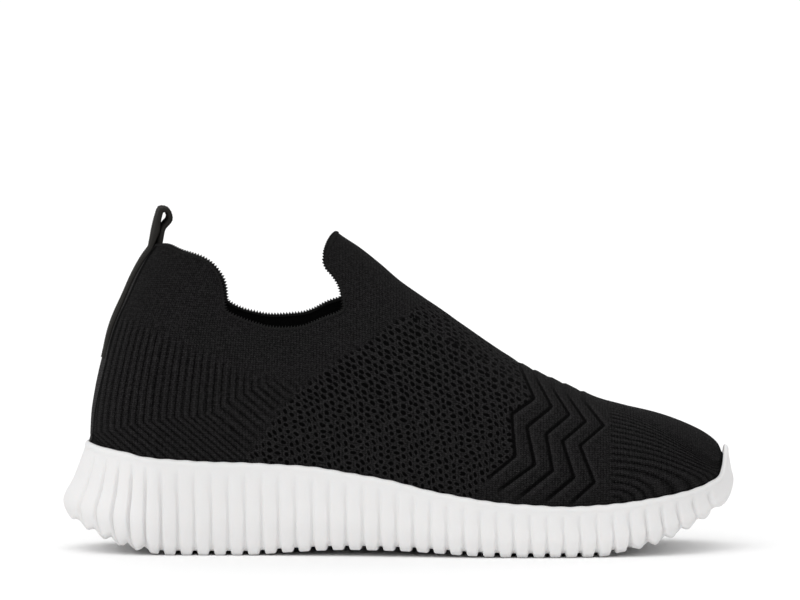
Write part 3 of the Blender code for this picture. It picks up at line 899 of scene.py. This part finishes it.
def knit_layers(grid):
    """The chart's values for each point of the upper."""
    x, y, z = grid[..., 0].ravel(), grid[..., 1].ravel(), grid[..., 2].ravel()
    wide, shift, _ = form(x, z)
    top = top_line(x)
    share = np.clip((z - edge(x)) / np.maximum(top - edge(x), WALL), 0, 1)
    over = np.minimum(np.abs(y - shift), np.maximum(wide, 0))
    v = z * math.cos(VIEW_TILT) - over * math.sin(VIEW_TILT)
    at, up = x / LENGTH + 0.5, v / INSTEP_HEIGHT
    girth = np.linalg.norm(np.diff(grid, axis=1), axis=2)
    girth = np.concatenate([np.zeros((len(grid), 1)), np.cumsum(girth, 1)], 1)
    across = np.minimum(girth, girth[:, -1:] - girth).ravel()
    half = np.repeat(girth[:, -1] / 2, grid.shape[1])
    layers = {}
    layers["wale"] = wale(x, z)
    layers["course"] = across
    layers["up"] = up
    layers["heel_rib"] = heel_rib(x, z)
    layers["slant_rib"] = slanted_rib(x, v)
    layers["mitre"] = (line_at(MITRE, at) * INSTEP_HEIGHT - v) * MM
    layers["below_plain"] = (line_at(PLAIN, at) * INSTEP_HEIGHT - v) * MM
    rows = np.array(OPENWORK)
    border = (np.interp(up, rows[:, 1], rows[:, 0]) - 0.5) * LENGTH
    layers["openwork"] = (x - border) * BORDER_LEAN * MM
    layers["strip"] = (line_at(STRIP, z / HEEL_HEIGHT) - (x - top_x(z))) * MM
    layers["groove"] = groove_count(at, up)
    low_end = v - line_at(GROOVE_ENDS, at) * INSTEP_HEIGHT
    high_end = line_at(GROOVE_STARTS, at) * INSTEP_HEIGHT - v
    layers["low_end"] = low_end * MM
    layers["groove_end"] = np.minimum(low_end, high_end) * MM
    cap = toe_rib(x, share)
    shares, girths = cap_girth()
    layers["toe_rib"] = np.interp(cap, shares, girths) / TOE_RIB
    layers["toe_cap"] = np.minimum((x - CAP_X) * MM, (1 - cap) * 20)
    c, s = math.cos(ROW_SLANT), math.sin(ROW_SLANT)
    reach = half - across
    ridge_v = v - np.where(reach < RIDGE_REACH, reach * RIDGE_TURN, 0)
    layers["hole_along"] = (x * c - ridge_v * s) / HOLE_PITCH
    layers["hole_over"] = (x * s + ridge_v * c) / ROW_PITCH
    return {name: value.reshape(grid.shape[:2]) for name, value in layers.items()}


def behind_tape(x, y, rise):
    """1 where the heel tape lies on the knit, which is smooth there."""
    off = np.abs(y - middle(HEEL_X) + CENTRE_Y) / TAPE_WIDTH
    heel = 1 - smooth(0.020, 0.032, x - HEEL_X)
    return (1 - smooth(0.5, 0.8, off)) * heel * smooth(0.004, 0.012, rise)


def relief(layers, grid):
    """How far the knit stands out of its smooth form at each point."""
    plain = 0.45 * smooth(0, 2.5, layers["below_plain"])
    plain += 0.55 * smooth(2, 16, layers["below_plain"])
    closed = 1 - smooth(-2, 2, layers["openwork"])
    lower = smooth(-0.5, 0.5, layers["mitre"])
    ribs = rounded(layers["heel_rib"]) * (1 - lower) + rounded(layers["slant_rib"]) * lower
    out = HEEL_RELIEF * (ribs - 0.5) * plain * closed
    groove = layers["groove"]
    zigzag = smooth(0.2, 0.9, groove) * (1 - smooth(5.1, 5.9, groove))
    zigzag = zigzag * smooth(-3, 3, layers["low_end"])
    past = groove % 1
    band = smooth(0, 0.20, past) * (1 - 0.55 * past) * (1 - smooth(0.90, 1, past))
    out += ZIGZAG_RELIEF * (band - 0.5) * zigzag
    cap = smooth(-1.5, 2.5, layers["toe_cap"])
    out += TOE_RELIEF * (rounded(layers["toe_rib"]) - 0.5) * cap
    open_area = smooth(0, 3, layers["openwork"]) * (1 - smooth(0.5, 1.0, groove))
    out += ROW_RELIEF * np.sin(2 * math.pi * layers["hole_over"]) * open_area
    x, y, z = np.moveaxis(grid, 2, 0)
    rise = z - edge(x)
    out += SEAT_BULGE * (1 - smooth(0, SEAT_RISE, rise))
    for at, up, long, tall, turn, depth in FOLDS:
        dx = x - (at - 0.5) * LENGTH
        dz = z - up * INSTEP_HEIGHT
        turn = math.radians(turn)
        along = dx * math.cos(turn) + dz * math.sin(turn)
        over = -dx * math.sin(turn) + dz * math.cos(turn)
        spot = np.exp(-((along / (long * LENGTH)) ** 2) - (over / (tall * INSTEP_HEIGHT)) ** 2)
        out += depth * BALL_WIDTH * spot
    return out * (1 - behind_tape(x, y, rise))


# The layers that the material reads
LAYER_NAMES = (
    "wale", "course", "up", "heel_rib", "slant_rib", "mitre", "below_plain", "openwork",
    "strip", "groove", "groove_end", "toe_rib", "toe_cap", "hole_along", "hole_over",
)


def make_upper(material):
    """The knitted upper's outer face, with its ribs, zigzag bands and soft folds."""
    grid = upper_grid(STATIONS, ACROSS)
    layers = knit_layers(grid)
    shaped = grid + grid_normals(grid) * relief(layers, grid)[..., None]
    layers = {name: layers[name] for name in LAYER_NAMES}
    for k, name in enumerate(("px", "py", "pz")):
        layers[name] = shaped[..., k] - grid[..., k]
    points, layers, faces = cut_at_collar(grid, layers)
    points = points + np.stack([layers[name] for name in ("px", "py", "pz")], 1)
    upper = mesh_object("knit_upper", points, faces, material)
    for name in LAYER_NAMES:
        attribute(upper, name, layers[name])
    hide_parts("upper")
    return upper


def make_lining(material):
    """The inner face of the upper."""
    grid = upper_grid(*LINING_GRID)
    grid[1:-1] -= grid_normals(grid)[1:-1] * LINING_DEPTH
    points, _, faces = cut_at_collar(grid, {})
    lining = mesh_object("knit_lining", points, [face[:, ::-1] for face in faces], material)
    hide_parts("upper")
    return lining


def collar_loop(count):
    """The collar's edge all round: points and the ways out of the knit's face."""
    fine = placed(COLLAR_PATH, np.linspace(0, 1, 5 * FINE))
    fine = fine[(fine[:, 1] < top_line(fine[:, 0])) & (fine[:, 0] > HEEL_X)]
    wide, shift, _ = form(fine[:, 0], fine[:, 1])
    wide[0] = wide[-1] = 0
    sides = []
    for side in (-1, 1):
        y = shift + side * wide
        z = fine[:, 1]
        for _ in range(8):
            z = fine[:, 1] + tab_rise(fine[:, 0], y, z)
        wide_there = np.where(wide > 0, form(fine[:, 0], z)[0], 0)
        sides.append(np.column_stack([fine[:, 0], shift + side * wide_there, z]))
    ring = np.concatenate([sides[0], sides[1][-2:0:-1]])
    ring = np.concatenate([ring, ring[:1]])
    ring = placed(ring, np.linspace(0, 1, count + 1))[:-1]
    step = 0.0002
    x, y, z = ring.T
    wide, shift, _ = form(x, z)
    side = np.where(y < shift, -1.0, 1.0)
    slope_x = (form(x + step, z)[0] - form(x - step, z)[0]) / (2 * step)
    slope_z = (form(x, z + step)[0] - form(x, z - step)[0]) / (2 * step)
    normal = np.stack([-slope_x, side, -slope_z], 1)
    normal /= np.linalg.norm(normal, axis=1, keepdims=True)
    for _ in range(6):
        normal = (normal + np.roll(normal, 1, 0) + np.roll(normal, -1, 0)) / 3
        normal /= np.linalg.norm(normal, axis=1, keepdims=True)
    return ring, normal


# Roll at the collar's edge
EDGE_BEAD = 0.00018  # how far it stands out of the knit
EDGE_DROP = 0.0006  # how far it reaches down over the wall
EDGE_RISE = 0.0006  # how far it stands above the wall
EDGE_TEETH = 250
EDGE_BITE = 0.95  # how much a tooth adds, as a share of the bead and the rise
EDGE_STEPS = 4  # points to a tooth
EDGE_FACE = ((-0.0001, -1.0), (0.9, -0.96), (1.1, -0.6), (0.95, -0.25))  # its lower outer part


def make_collar_edge(material):
    """The knit's finished edge: a thin roll over the wall, with a bead at each wale."""
    count = EDGE_TEETH * EDGE_STEPS
    ring, normal = collar_loop(count)
    along = np.roll(ring, -1, 0) - np.roll(ring, 1, 0)
    along /= np.linalg.norm(along, axis=1, keepdims=True)
    rise = np.cross(along, normal)
    rise *= np.sign(rise[:, 2].sum())
    rise /= np.linalg.norm(rise, axis=1, keepdims=True)
    thick = WALL - 0.0004
    tooth = 1 + EDGE_BITE * np.cos(2 * math.pi * np.arange(count) / EDGE_STEPS)
    profile = [(EDGE_BEAD * out, EDGE_DROP * up) for out, up in EDGE_FACE]
    off = thick / 2
    for turn in np.linspace(0, math.pi, 9):
        out = (off + EDGE_BEAD * 0.9) * math.cos(turn) - off
        profile.append((out, EDGE_RISE * math.sin(turn)))
    profile.append((-thick - 0.0002, -EDGE_DROP))
    still = np.ones(count)
    rows = []
    for out, up in profile:
        swell = out * (tooth if out > 0 else still)
        height = up * (tooth if up > 0 else still)
        rows.append(ring + normal * swell[:, None] + rise * height[:, None])
    faces = grid_faces(len(rows), count, closed=True)
    roll = mesh_object("collar_edge", np.concatenate(rows), [faces], material)
    weld(roll)
    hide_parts("upper")
    return roll


def heel_surface(y, z):
    """x of the upper's outer surface round the back of the heel."""
    near = np.full(np.shape(z), HEEL_X)
    far = near + 2 * HEEL_ROUND
    for _ in range(HALVINGS):
        x = (near + far) / 2
        inside = form(x, z)[0] > abs(y)
        near, far = np.where(inside, near, x), np.where(inside, x, far)
    return (near + far) / 2


def heel_shell(y, z, out):
    """Points at a distance out of the heel's surface, and the ways out of it."""
    step = SEAT
    x = heel_surface(y, z)
    by_y = (heel_surface(y + step, z) - heel_surface(y - step, z)) / (2 * step)
    by_z = (heel_surface(y, z + step) - heel_surface(y, z - step)) / (2 * step)
    normal = np.stack([-np.ones_like(x), by_y, by_z], -1)
    normal /= np.linalg.norm(normal, axis=-1, keepdims=True)
    return np.stack([x, y, z], -1) + normal * out, normal


# Webbing
TAPE_COLUMNS = 25
TAPE_RIB = 0.00095  # pitch of the webbing's cross ribs
WEB_RELIEF = 0.00016
SELVAGE = (0.78, 0.84)  # shares of half the width between which the ribs end


def tape_rows():
    """Rows across the tape along its whole run: middle points, ways to its face, half thickness."""
    across = np.linspace(-TAPE_WIDTH / 2, TAPE_WIDTH / 2, TAPE_COLUMNS)
    rows = []
    top = HEEL_HEIGHT - TAPE_THICKNESS
    for z in np.linspace(TAPE_FOOT, top, 70):
        flush = TAPE_THICKNESS / 2 * float(smooth(0, 0.012, z - TAPE_FOOT)) - SEAT / 2
        middle_line, way = heel_shell(across, np.full(len(across), z), flush)
        rows.append((middle_line, way, TAPE_THICKNESS / 2))
    loop = np.array(LOOP) * (TOE_X - HEEL_X, HEEL_HEIGHT) + (HEEL_X, 0)
    loop = path_through(loop, 60)
    ahead = np.gradient(loop, axis=0)
    ahead /= np.linalg.norm(ahead, axis=1, keepdims=True)
    surface = heel_surface(across, np.full(len(across), top))
    hollow = surface - surface.min()
    free = np.abs(np.linspace(-1, 1, len(loop))) ** LOOP_EASE
    for (x, z), (dx, dz), share in zip(loop, ahead, free):
        middle_x = x + across * math.sin(LOOP_TWIST) + hollow * share
        flat = np.stack([middle_x, across * math.cos(LOOP_TWIST), np.full(len(across), z)], 1)
        way = np.broadcast_to((-dz, 0, dx), flat.shape)
        rows.append((flat, way, LOOP_THICKNESS / 2))
    inside = WALL + 3 * SEAT + TAPE_THICKNESS / 2
    for z in np.linspace(HEEL_HEIGHT, HEEL_HEIGHT - TAPE_TAIL, 20):
        middle_line, way = heel_shell(across, np.full(len(across), z), -inside)
        rows.append((middle_line, -way, TAPE_THICKNESS / 2))
    return rows


def make_heel_tape(material):
    """Webbing up the back of the heel, over as a loop, and down inside the collar."""
    rows = tape_rows()
    centre = np.stack([row[0] for row in rows])
    run = run_along(centre[:, TAPE_COLUMNS // 2])
    count = int(run[-1] / TAPE_RIB * 5)
    at = np.linspace(0, run[-1], count)

    def even(values):
        flat = values.reshape(len(rows), -1)
        made = np.stack([np.interp(at, run, flat[:, k]) for k in range(flat.shape[1])], 1)
        return made.reshape((count,) + values.shape[1:])

    centre = even(centre)
    way = even(np.stack([np.broadcast_to(row[1], row[0].shape) for row in rows]))
    thick = even(np.array([[row[2]] for row in rows]))
    for _ in range(8):
        centre[1:-1] = (centre[:-2] + 2 * centre[1:-1] + centre[2:]) / 4
        way[1:-1] = (way[:-2] + 2 * way[1:-1] + way[2:]) / 4
    way /= np.linalg.norm(way, axis=2, keepdims=True)
    old = np.linspace(-1, 1, TAPE_COLUMNS)
    share = np.sign(old) * (1 - (1 - np.abs(old)) ** 1.6)
    place = np.stack([[np.interp(share, old, line[:, k]) for k in range(3)] for line in centre])
    centre = np.moveaxis(place, 1, 2)
    ribs = WEB_RELIEF * np.cos(2 * math.pi * at / TAPE_RIB)
    body = np.sqrt(np.clip(1 - np.abs(share) ** 12, 0, 1))
    selvage = 1 - smooth(*SELVAGE, np.abs(share))
    half = thick * body[None] + ribs[:, None] * selvage[None] * body[None]
    near = centre - way * half[..., None]
    far = centre + way * half[..., None]
    rings = np.concatenate([far, near[:, -2:0:-1]], 1)
    rings[..., 1] += float(middle(HEEL_X)) - CENTRE_Y
    around = rings.shape[1]
    faces = [grid_faces(count, around, closed=True)]
    caps = []
    for row, order in ((0, 1), (count - 1, -1)):
        first = row * around
        for k in range(TAPE_COLUMNS - 1):
            quad = [first + k, first + k + 1, first + (around - k - 1) % around,
                    first + (around - k) % around]
            caps.append(quad[::order])
    faces.append(np.array(caps))
    tape = mesh_object("pull_tape", rings.reshape(-1, 3), faces, material)
    attribute(tape, "along", np.repeat(at, around))
    cross = np.concatenate([share, share[-2:0:-1]])
    attribute(tape, "cross", np.tile(cross, count))
    weld(tape)
    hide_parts("heel_pull_tape")
    return tape


# Insole's mesh and cup
INSOLE_COLUMNS = 240
INSOLE_RUNGS = 60
INSOLE_CUP = 0.0011  # how deep its middle lies
INSOLE_CURL = 0.0009  # how far its edge turns down


def make_insole(material):
    """The cloth-covered insole: a shallow cup with a turned-down edge, on the sole's bed."""
    sides = []
    for side in (-1, 1):
        plan = grown(side, -WALL - 3 * SEAT)
        plan = placed(plan, np.linspace(0, 1, INSOLE_COLUMNS))[1:-1]
        plan[:, 1] -= CENTRE_Y
        sides.append(plan)
    shares = (1 - np.cos(np.linspace(0, math.pi, INSOLE_RUNGS))) / 2
    over = shares[None, :, None]
    sheet = sides[0][:, None] * (1 - over) + sides[1][:, None] * over
    x = sheet[..., 0]
    edge_way = np.abs(2 * shares - 1)[None]
    ends = smooth(0, 0.05, np.linspace(0, 1, INSOLE_COLUMNS - 2))
    ends = (ends * ends[::-1])[:, None]
    drop = INSOLE_CUP * (1 - edge_way**2) * ends
    curl = INSOLE_CURL * smooth(0.94, 1.0, np.maximum(edge_way, 1 - ends))
    low = seat(x)
    top = np.concatenate([sheet, (low + INSOLE_THICKNESS - drop - curl)[..., None]], 2)
    under_side = np.concatenate([sheet, low[..., None]], 2)
    rows, columns = x.shape
    points = np.concatenate([top.reshape(-1, 3), under_side.reshape(-1, 3)])
    shift = rows * columns
    index = np.arange(shift).reshape(rows, columns)
    rim = np.concatenate([index[0], index[1:, -1], index[-1, -2::-1], index[-2:0:-1, 0]])
    ahead = np.roll(rim, -1)
    wall = np.stack([rim, ahead, ahead + shift, rim + shift], 1)
    faces = [grid_faces(rows, columns), grid_faces(rows, columns)[:, ::-1] + shift, wall]
    insole = mesh_object("insole_cloth", points, faces, material)
    weld(insole)
    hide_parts("insole")
    return insole


class Wiring:
    """Makes a material's nodes, so that each step of a pattern is one short line."""

    def __init__(self, name, roughness, sheen=0.0, specular=0.1):
        self.made = bpy.data.materials.new(name)
        self.made.use_nodes = True
        self.tree = self.made.node_tree
        self.shader = self.tree.nodes["Principled BSDF"]
        self.shader.inputs["Roughness"].default_value = roughness
        self.shader.inputs["Specular IOR Level"].default_value = specular
        self.shader.inputs["Sheen Weight"].default_value = sheen
        self.shader.inputs["Sheen Roughness"].default_value = 0.45

    def node(self, kind, inputs=(), **settings):
        made = self.tree.nodes.new(kind)
        for name, value in settings.items():
            setattr(made, name, value)
        for name, value in dict(inputs).items():
            self.put(made.inputs[name], value)
        return made

    def put(self, socket, value):
        if isinstance(value, bpy.types.NodeSocket):
            self.tree.links.new(value, socket)
        else:
            socket.default_value = value

    def math(self, operation, *values):
        made = self.tree.nodes.new("ShaderNodeMath")
        made.operation = operation
        for socket, value in zip(made.inputs, values):
            self.put(socket, value)
        return made.outputs[0]

    def add(self, *values):
        total = values[0]
        for value in values[1:]:
            total = self.math("ADD", total, value)
        return total

    def times(self, *values):
        total = values[0]
        for value in values[1:]:
            total = self.math("MULTIPLY", total, value)
        return total

    def value(self, name):
        """A number that the mesh holds for each of its points."""
        return self.node("ShaderNodeAttribute", attribute_name=name).outputs["Fac"]

    def ease(self, value, low, high, start=0.0, end=1.0):
        inputs = {"Value": value, "From Min": low, "From Max": high, "To Min": start,
                  "To Max": end}
        made = self.node("ShaderNodeMapRange", interpolation_type="SMOOTHSTEP", inputs=inputs)
        return made.outputs["Result"]

    def mix(self, share, first, second):
        return self.add(first, self.times(share, self.math("SUBTRACT", second, first)))

    def rib(self, phase):
        wave = self.math("SINE", self.times(phase, math.pi))
        return self.math("POWER", self.math("ABSOLUTE", wave), 0.5)

    def noise(self, scale, detail=2.0, place=None, dims="3D"):
        inputs = {"Scale": scale, "Detail": detail}
        made = self.node("ShaderNodeTexNoise", noise_dimensions=dims, inputs=inputs)
        if place is None:
            place = self.node("ShaderNodeTexCoord").outputs["Object"]
        self.tree.links.new(place, made.inputs["Vector"])
        return made.outputs["Fac"]

    def finish(self, dark, light, share, height, depth=0.001):
        """Colour between two by a share, and a bump from a height in units of the depth."""
        blend = self.node("ShaderNodeMix", data_type="RGBA", clamp_factor=False)
        self.put(blend.inputs["Factor"], share)
        first, second = [socket for socket in blend.inputs if socket.type == "RGBA"]
        first.default_value = (*dark, 1)
        second.default_value = (*light, 1)
        colour = [socket for socket in blend.outputs if socket.type == "RGBA"][0]
        self.put(self.shader.inputs["Base Color"], colour)
        bump = self.node("ShaderNodeBump", inputs={"Height": height, "Distance": depth})
        self.put(self.shader.inputs["Normal"], bump.outputs["Normal"])
        return self.made


# Sizes of the yarns' patterns
STITCH_WIDTH = 0.00115
STITCH_HEIGHT = 0.00088
THREAD_PITCH = 0.0009


def stitches(w):
    """Rows of small V-shaped stitches, 0 between the yarns and 1 on them."""
    place = w.math("FRACT", w.math("DIVIDE", w.value("wale"), STITCH_WIDTH))
    off = w.math("ABSOLUTE", w.math("SUBTRACT", place, 0.5))
    row = w.add(w.math("DIVIDE", w.value("course"), STITCH_HEIGHT), w.times(off, 1.1))
    loop = w.math("ABSOLUTE", w.math("SINE", w.times(row, math.pi)))
    return w.times(loop, w.ease(off, 0.5, 0.34))


def openwork(w):
    """Slits between the yarns of the openwork, in staggered rows, and the yarns round them: masks
    for the painted shade in the slits and the painted highlight on the yarn round each.
    """
    up = w.value("up")
    warp = w.noise(170.0, 1.0)
    warp = w.math("SUBTRACT", warp, 0.5)
    along = w.add(w.value("hole_along"), w.times(warp, 0.8))
    zigzag = w.math("SINE", w.times(along, math.pi / 2))
    lower = w.ease(up, 0.55, 0.35)
    over = w.add(w.value("hole_over"), w.times(warp, 0.35), w.times(zigzag, lower, 0.30))
    row = w.math("FLOOR", over)
    along = w.add(along, w.times(row, 0.5))
    cell = w.math("FLOOR", along)
    place = w.node("ShaderNodeCombineXYZ", inputs={"X": cell, "Y": row})
    chance = w.node("ShaderNodeTexWhiteNoise", noise_dimensions="2D")
    w.tree.links.new(place.outputs[0], chance.inputs["Vector"])
    pick = w.node("ShaderNodeSeparateColor")
    w.tree.links.new(chance.outputs["Color"], pick.inputs[0])
    jitter = [w.math("SUBTRACT", pick.outputs[k], 0.5) for k in (0, 1)]
    x = w.math("SUBTRACT", w.math("FRACT", along), 0.5)
    y = w.math("SUBTRACT", w.math("FRACT", over), 0.5)
    x = w.add(x, w.times(jitter[0], 0.28))
    y = w.add(y, w.times(jitter[1], 0.24), w.times(x, 0.25))
    long = w.mix(lower, 0.40, 0.30)
    tall = w.add(0.27, w.times(pick.outputs[2], 0.09))
    x = w.math("DIVIDE", x, long)
    y = w.math("DIVIDE", y, tall)
    away = w.math("SQRT", w.add(w.times(x, x), w.times(y, y)))
    # hole: the slits, which the knit sinks in the bump and darkens as painted shade
    hole = w.ease(away, 1.15, 0.65)
    area = w.times(w.ease(w.value("openwork"), -0.5, 2.5), w.ease(w.value("groove"), 0.97, 0.86))
    sure = w.add(pick.outputs[2], w.times(w.value("openwork"), 0.25))
    strength = w.ease(sure, 0.1, 1.0, 0.55, 1.0)
    # yarn: a ring round each slit, which the knit paints lighter as a painted highlight
    yarn = w.times(w.ease(away, 2.0, 1.25), w.ease(away, 0.9, 1.2), area)
    return w.times(hole, area, strength), yarn


def knit_material():
    """Black knit: plain at the collar, ribbed at the heel and the toe, openwork along the side
    and zigzag grooves over the ball of the foot."""
    w = Wiring("black knit", 0.9, specular=0.04)
    plain = w.ease(w.value("below_plain"), 0.0, 9.0)
    closed = w.ease(w.value("openwork"), 1.5, -1.5)
    lower = w.ease(w.value("mitre"), -0.4, 0.4)
    heel = w.mix(lower, w.rib(w.value("heel_rib")), w.rib(w.value("slant_rib")))
    heel_area = w.times(plain, closed)
    groove = w.value("groove")
    phase = w.math("SUBTRACT", w.math("FRACT", w.add(groove, 0.5)), 0.5)
    band = w.times(w.ease(groove, 0.55, 0.8), w.ease(groove, 5.5, 5.2))
    band = w.times(band, w.ease(w.value("groove_end"), -3.0, 2.0))
    # dip: the zigzag grooves, sunk in the bump and darkened in the colour below as painted shade
    dip = w.times(w.ease(phase, -0.20, -0.05), w.ease(phase, 0.12, 0.04), band)
    # Painted highlight along the toe side of each zigzag groove, where the band's steep face meets
    # the light
    painted_shoulder_highlight = w.times(w.ease(phase, 0.05, 0.14), w.ease(phase, 0.45, 0.16), band)
    toe = w.rib(w.value("toe_rib"))
    cap = w.ease(w.value("toe_cap"), -0.6, 1.6)
    # hole: painted shade in the openwork's slits; yarn: painted highlight on the ring round each
    # slit
    hole, yarn = openwork(w)
    stitch = stitches(w)
    fuzz = w.ease(w.noise(1300.0, 3.0), 0.38, 0.66)
    # crest: thin lines along the crests of the heel and toe ribs, painted lighter as a highlight
    crest = w.add(w.times(w.math("POWER", heel, 6.0), heel_area),
                  w.times(w.math("POWER", toe, 6.0), cap))
    # valley: the grooves between those ribs, sunk in the bump and also darkened in the colour as
    # painted shade
    valley = w.add(w.times(w.math("SUBTRACT", 1.0, heel), heel_area),
                   w.times(w.math("SUBTRACT", 1.0, toe), cap))
    height = w.add(
        w.times(valley, -0.55),
        w.times(dip, -0.70),
        w.times(hole, -0.80),
        w.times(stitch, 0.20),
        w.times(fuzz, 0.10),
    )
    tone = w.add(
        0.04,
        w.times(stitch, 0.36),
        w.times(fuzz, 0.34),
        w.times(crest, 0.14),
        # yarn: painted highlight round each slit
        w.times(yarn, 0.26),
        w.times(painted_shoulder_highlight, 0.24),
        w.times(valley, -0.38),
    )
    # Painted shade: the zigzag grooves and the openwork's slits are darkened here
    left = w.times(w.math("SUBTRACT", 1.0, w.times(dip, 0.86)),
                   w.math("SUBTRACT", 1.0, w.times(hole, 0.95)))
    tone = w.times(w.math("MAXIMUM", tone, 0.03), left)
    strip = w.value("strip")
    web = w.ease(strip, -0.05, 0.15)
    cross = w.rib(w.times(w.value("up"), INSTEP_HEIGHT / TAPE_RIB))
    # Dark line just ahead of the heel band: partly painted shade along the band's edge, partly its
    # dark selvage
    tone = w.times(tone, w.ease(strip, -0.45, -0.95, 0.1, 1.0))
    tone = w.mix(web, tone, w.add(0.40, w.times(cross, 0.55), w.times(fuzz, 0.40)))
    height = w.mix(web, height, w.add(w.times(cross, 0.2), w.times(fuzz, 0.1)))
    return w.finish((0.0003, 0.0003, 0.0003), (0.0275, 0.0265, 0.0270), tone, height)


def lining_material():
    """The upper's inner face, a fine black knit."""
    w = Wiring("black lining", 0.9, specular=0.04)
    fine = w.noise(1500.0, 3.0)
    return w.finish((0.001, 0.001, 0.001), (0.005, 0.005, 0.005), fine, w.times(fine, 0.15))


def edge_material():
    """The yarn of the collar's edge."""
    w = Wiring("collar edge yarn", 0.8, specular=0.06)
    fine = w.noise(1700.0, 3.0)
    return w.finish((0.003, 0.003, 0.003), (0.016, 0.0155, 0.0155), fine, w.times(fine, 0.12))


def cloth_material():
    """The insole's cloth, a fine plain weave."""
    w = Wiring("insole cloth", 0.9, specular=0.05)
    place = w.node("ShaderNodeSeparateXYZ")
    w.tree.links.new(w.node("ShaderNodeTexCoord").outputs["Object"], place.inputs[0])
    threads = [w.math("SINE", w.times(place.outputs[k], 2 * math.pi / THREAD_PITCH)) for k in (0, 1)]
    weave = w.add(0.5, w.times(threads[0], threads[1], 0.5))
    height = w.add(w.times(weave, 0.12), w.times(w.noise(900.0), 0.1))
    return w.finish((0.006, 0.006, 0.0065), (0.018, 0.018, 0.019), weave, height)


def webbing_material():
    """Ribbed webbing: cross ribs between two plain selvages."""
    w = Wiring("black webbing", 0.9, specular=0.05)
    rib = w.rib(w.math("DIVIDE", w.value("along"), TAPE_RIB))
    side = w.math("ABSOLUTE", w.value("cross"))
    face = w.ease(side, 0.86, 0.78)
    yarn = w.math("SINE", w.times(w.value("cross"), 90.0))
    fine = w.noise(2200.0, 3.0)
    height = w.add(w.times(rib, face, 0.22), w.times(yarn, 0.03), w.times(fine, 0.08))
    tone = w.add(0.22, w.times(rib, face, 0.45), w.times(fine, 0.35))
    return w.finish((0.003, 0.0028, 0.0026), (0.040, 0.038, 0.035), tone, height)


def foam_material():
    """White moulded foam: a matt skin with fine pores and faintly uneven tone."""
    w = Wiring("white foam", 0.55, specular=0.35)
    w.shader.inputs["Subsurface Weight"].default_value = 0.12
    w.shader.inputs["Subsurface Radius"].default_value = (0.004, 0.003, 0.0025)
    w.shader.inputs["Subsurface Scale"].default_value = 1.0
    broad = w.noise(38.0, 3.0)
    pores = w.noise(1400.0, 2.0)
    tone = w.add(w.times(broad, 0.7), w.times(pores, 0.3))
    height = w.add(w.times(pores, 0.05), w.times(w.noise(220.0), 0.05))
    return w.finish((0.715, 0.708, 0.705), (0.765, 0.758, 0.756), tone, height)


def floor_material():
    """A plain pale studio floor."""
    w = Wiring("pale floor", 0.7)
    tone = w.noise(3.0)
    return w.finish((0.955, 0.955, 0.955), (0.965, 0.965, 0.965), tone, w.times(tone, 0.01))


def make_floor():
    half = 6.0
    corners = [(-half, -half, 0), (half, -half, 0), (half, half, 0), (-half, half, 0)]
    mesh = bpy.data.meshes.new("floor")
    mesh.from_pydata(corners, [], [(0, 1, 2, 3)])
    mesh.materials.append(floor_material())
    floor = bpy.data.objects.new("floor", mesh)
    floor.location.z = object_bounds()[0][2] - 0.0001
    bpy.context.scene.collection.objects.link(floor)


def add_sun(name, way, spread, strength):
    """A soft distant light that shines along a way."""
    data = bpy.data.lights.new(name, "SUN")
    data.angle = math.radians(spread)
    data.energy = strength
    light = bpy.data.objects.new(name, data)
    light.rotation_euler = Vector(way).to_track_quat("-Z", "Y").to_euler()
    bpy.context.scene.collection.objects.link(light)


def make_light():
    """A bright white surround, a broad soft light above in front, and a weaker one above."""
    world = bpy.data.worlds.new("studio")
    world.use_nodes = True
    background = world.node_tree.nodes["Background"]
    background.inputs["Color"].default_value = (1.0, 1.0, 1.0, 1.0)
    background.inputs["Strength"].default_value = 0.70
    bpy.context.scene.world = world
    add_sun("key", (0.35, 0.62, -0.70), 80, 1.05)
    add_sun("top", (0.10, -0.28, -0.95), 80, 0.7)
    bpy.context.scene.view_settings.view_transform = "Standard"


# Picture
VIEW_WIDTH = 0.324  # at the shoe
VIEW_TARGET = (0.0005, 0, 0.1008)


def make_camera():
    """A long lens from just above the outer side, square to it, as the shoe is photographed."""
    data = bpy.data.cameras.new("camera")
    data.lens = 500
    data.sensor_width = 36
    data.clip_end = 100
    camera = bpy.data.objects.new("camera", data)
    distance = VIEW_WIDTH * data.lens / data.sensor_width
    target = Vector(VIEW_TARGET)
    way = Vector((0, -math.cos(VIEW_TILT), math.sin(VIEW_TILT)))
    camera.location = target + way * distance
    camera.rotation_euler = (-way).to_track_quat("-Z", "Y").to_euler()
    bpy.context.scene.collection.objects.link(camera)
    bpy.context.scene.camera = camera


make_camera()
make_light()
make_floor()
make_sole(foam_material())
make_upper(knit_material())
make_lining(lining_material())
make_collar_edge(edge_material())
make_heel_tape(webbing_material())
make_insole(cloth_material())
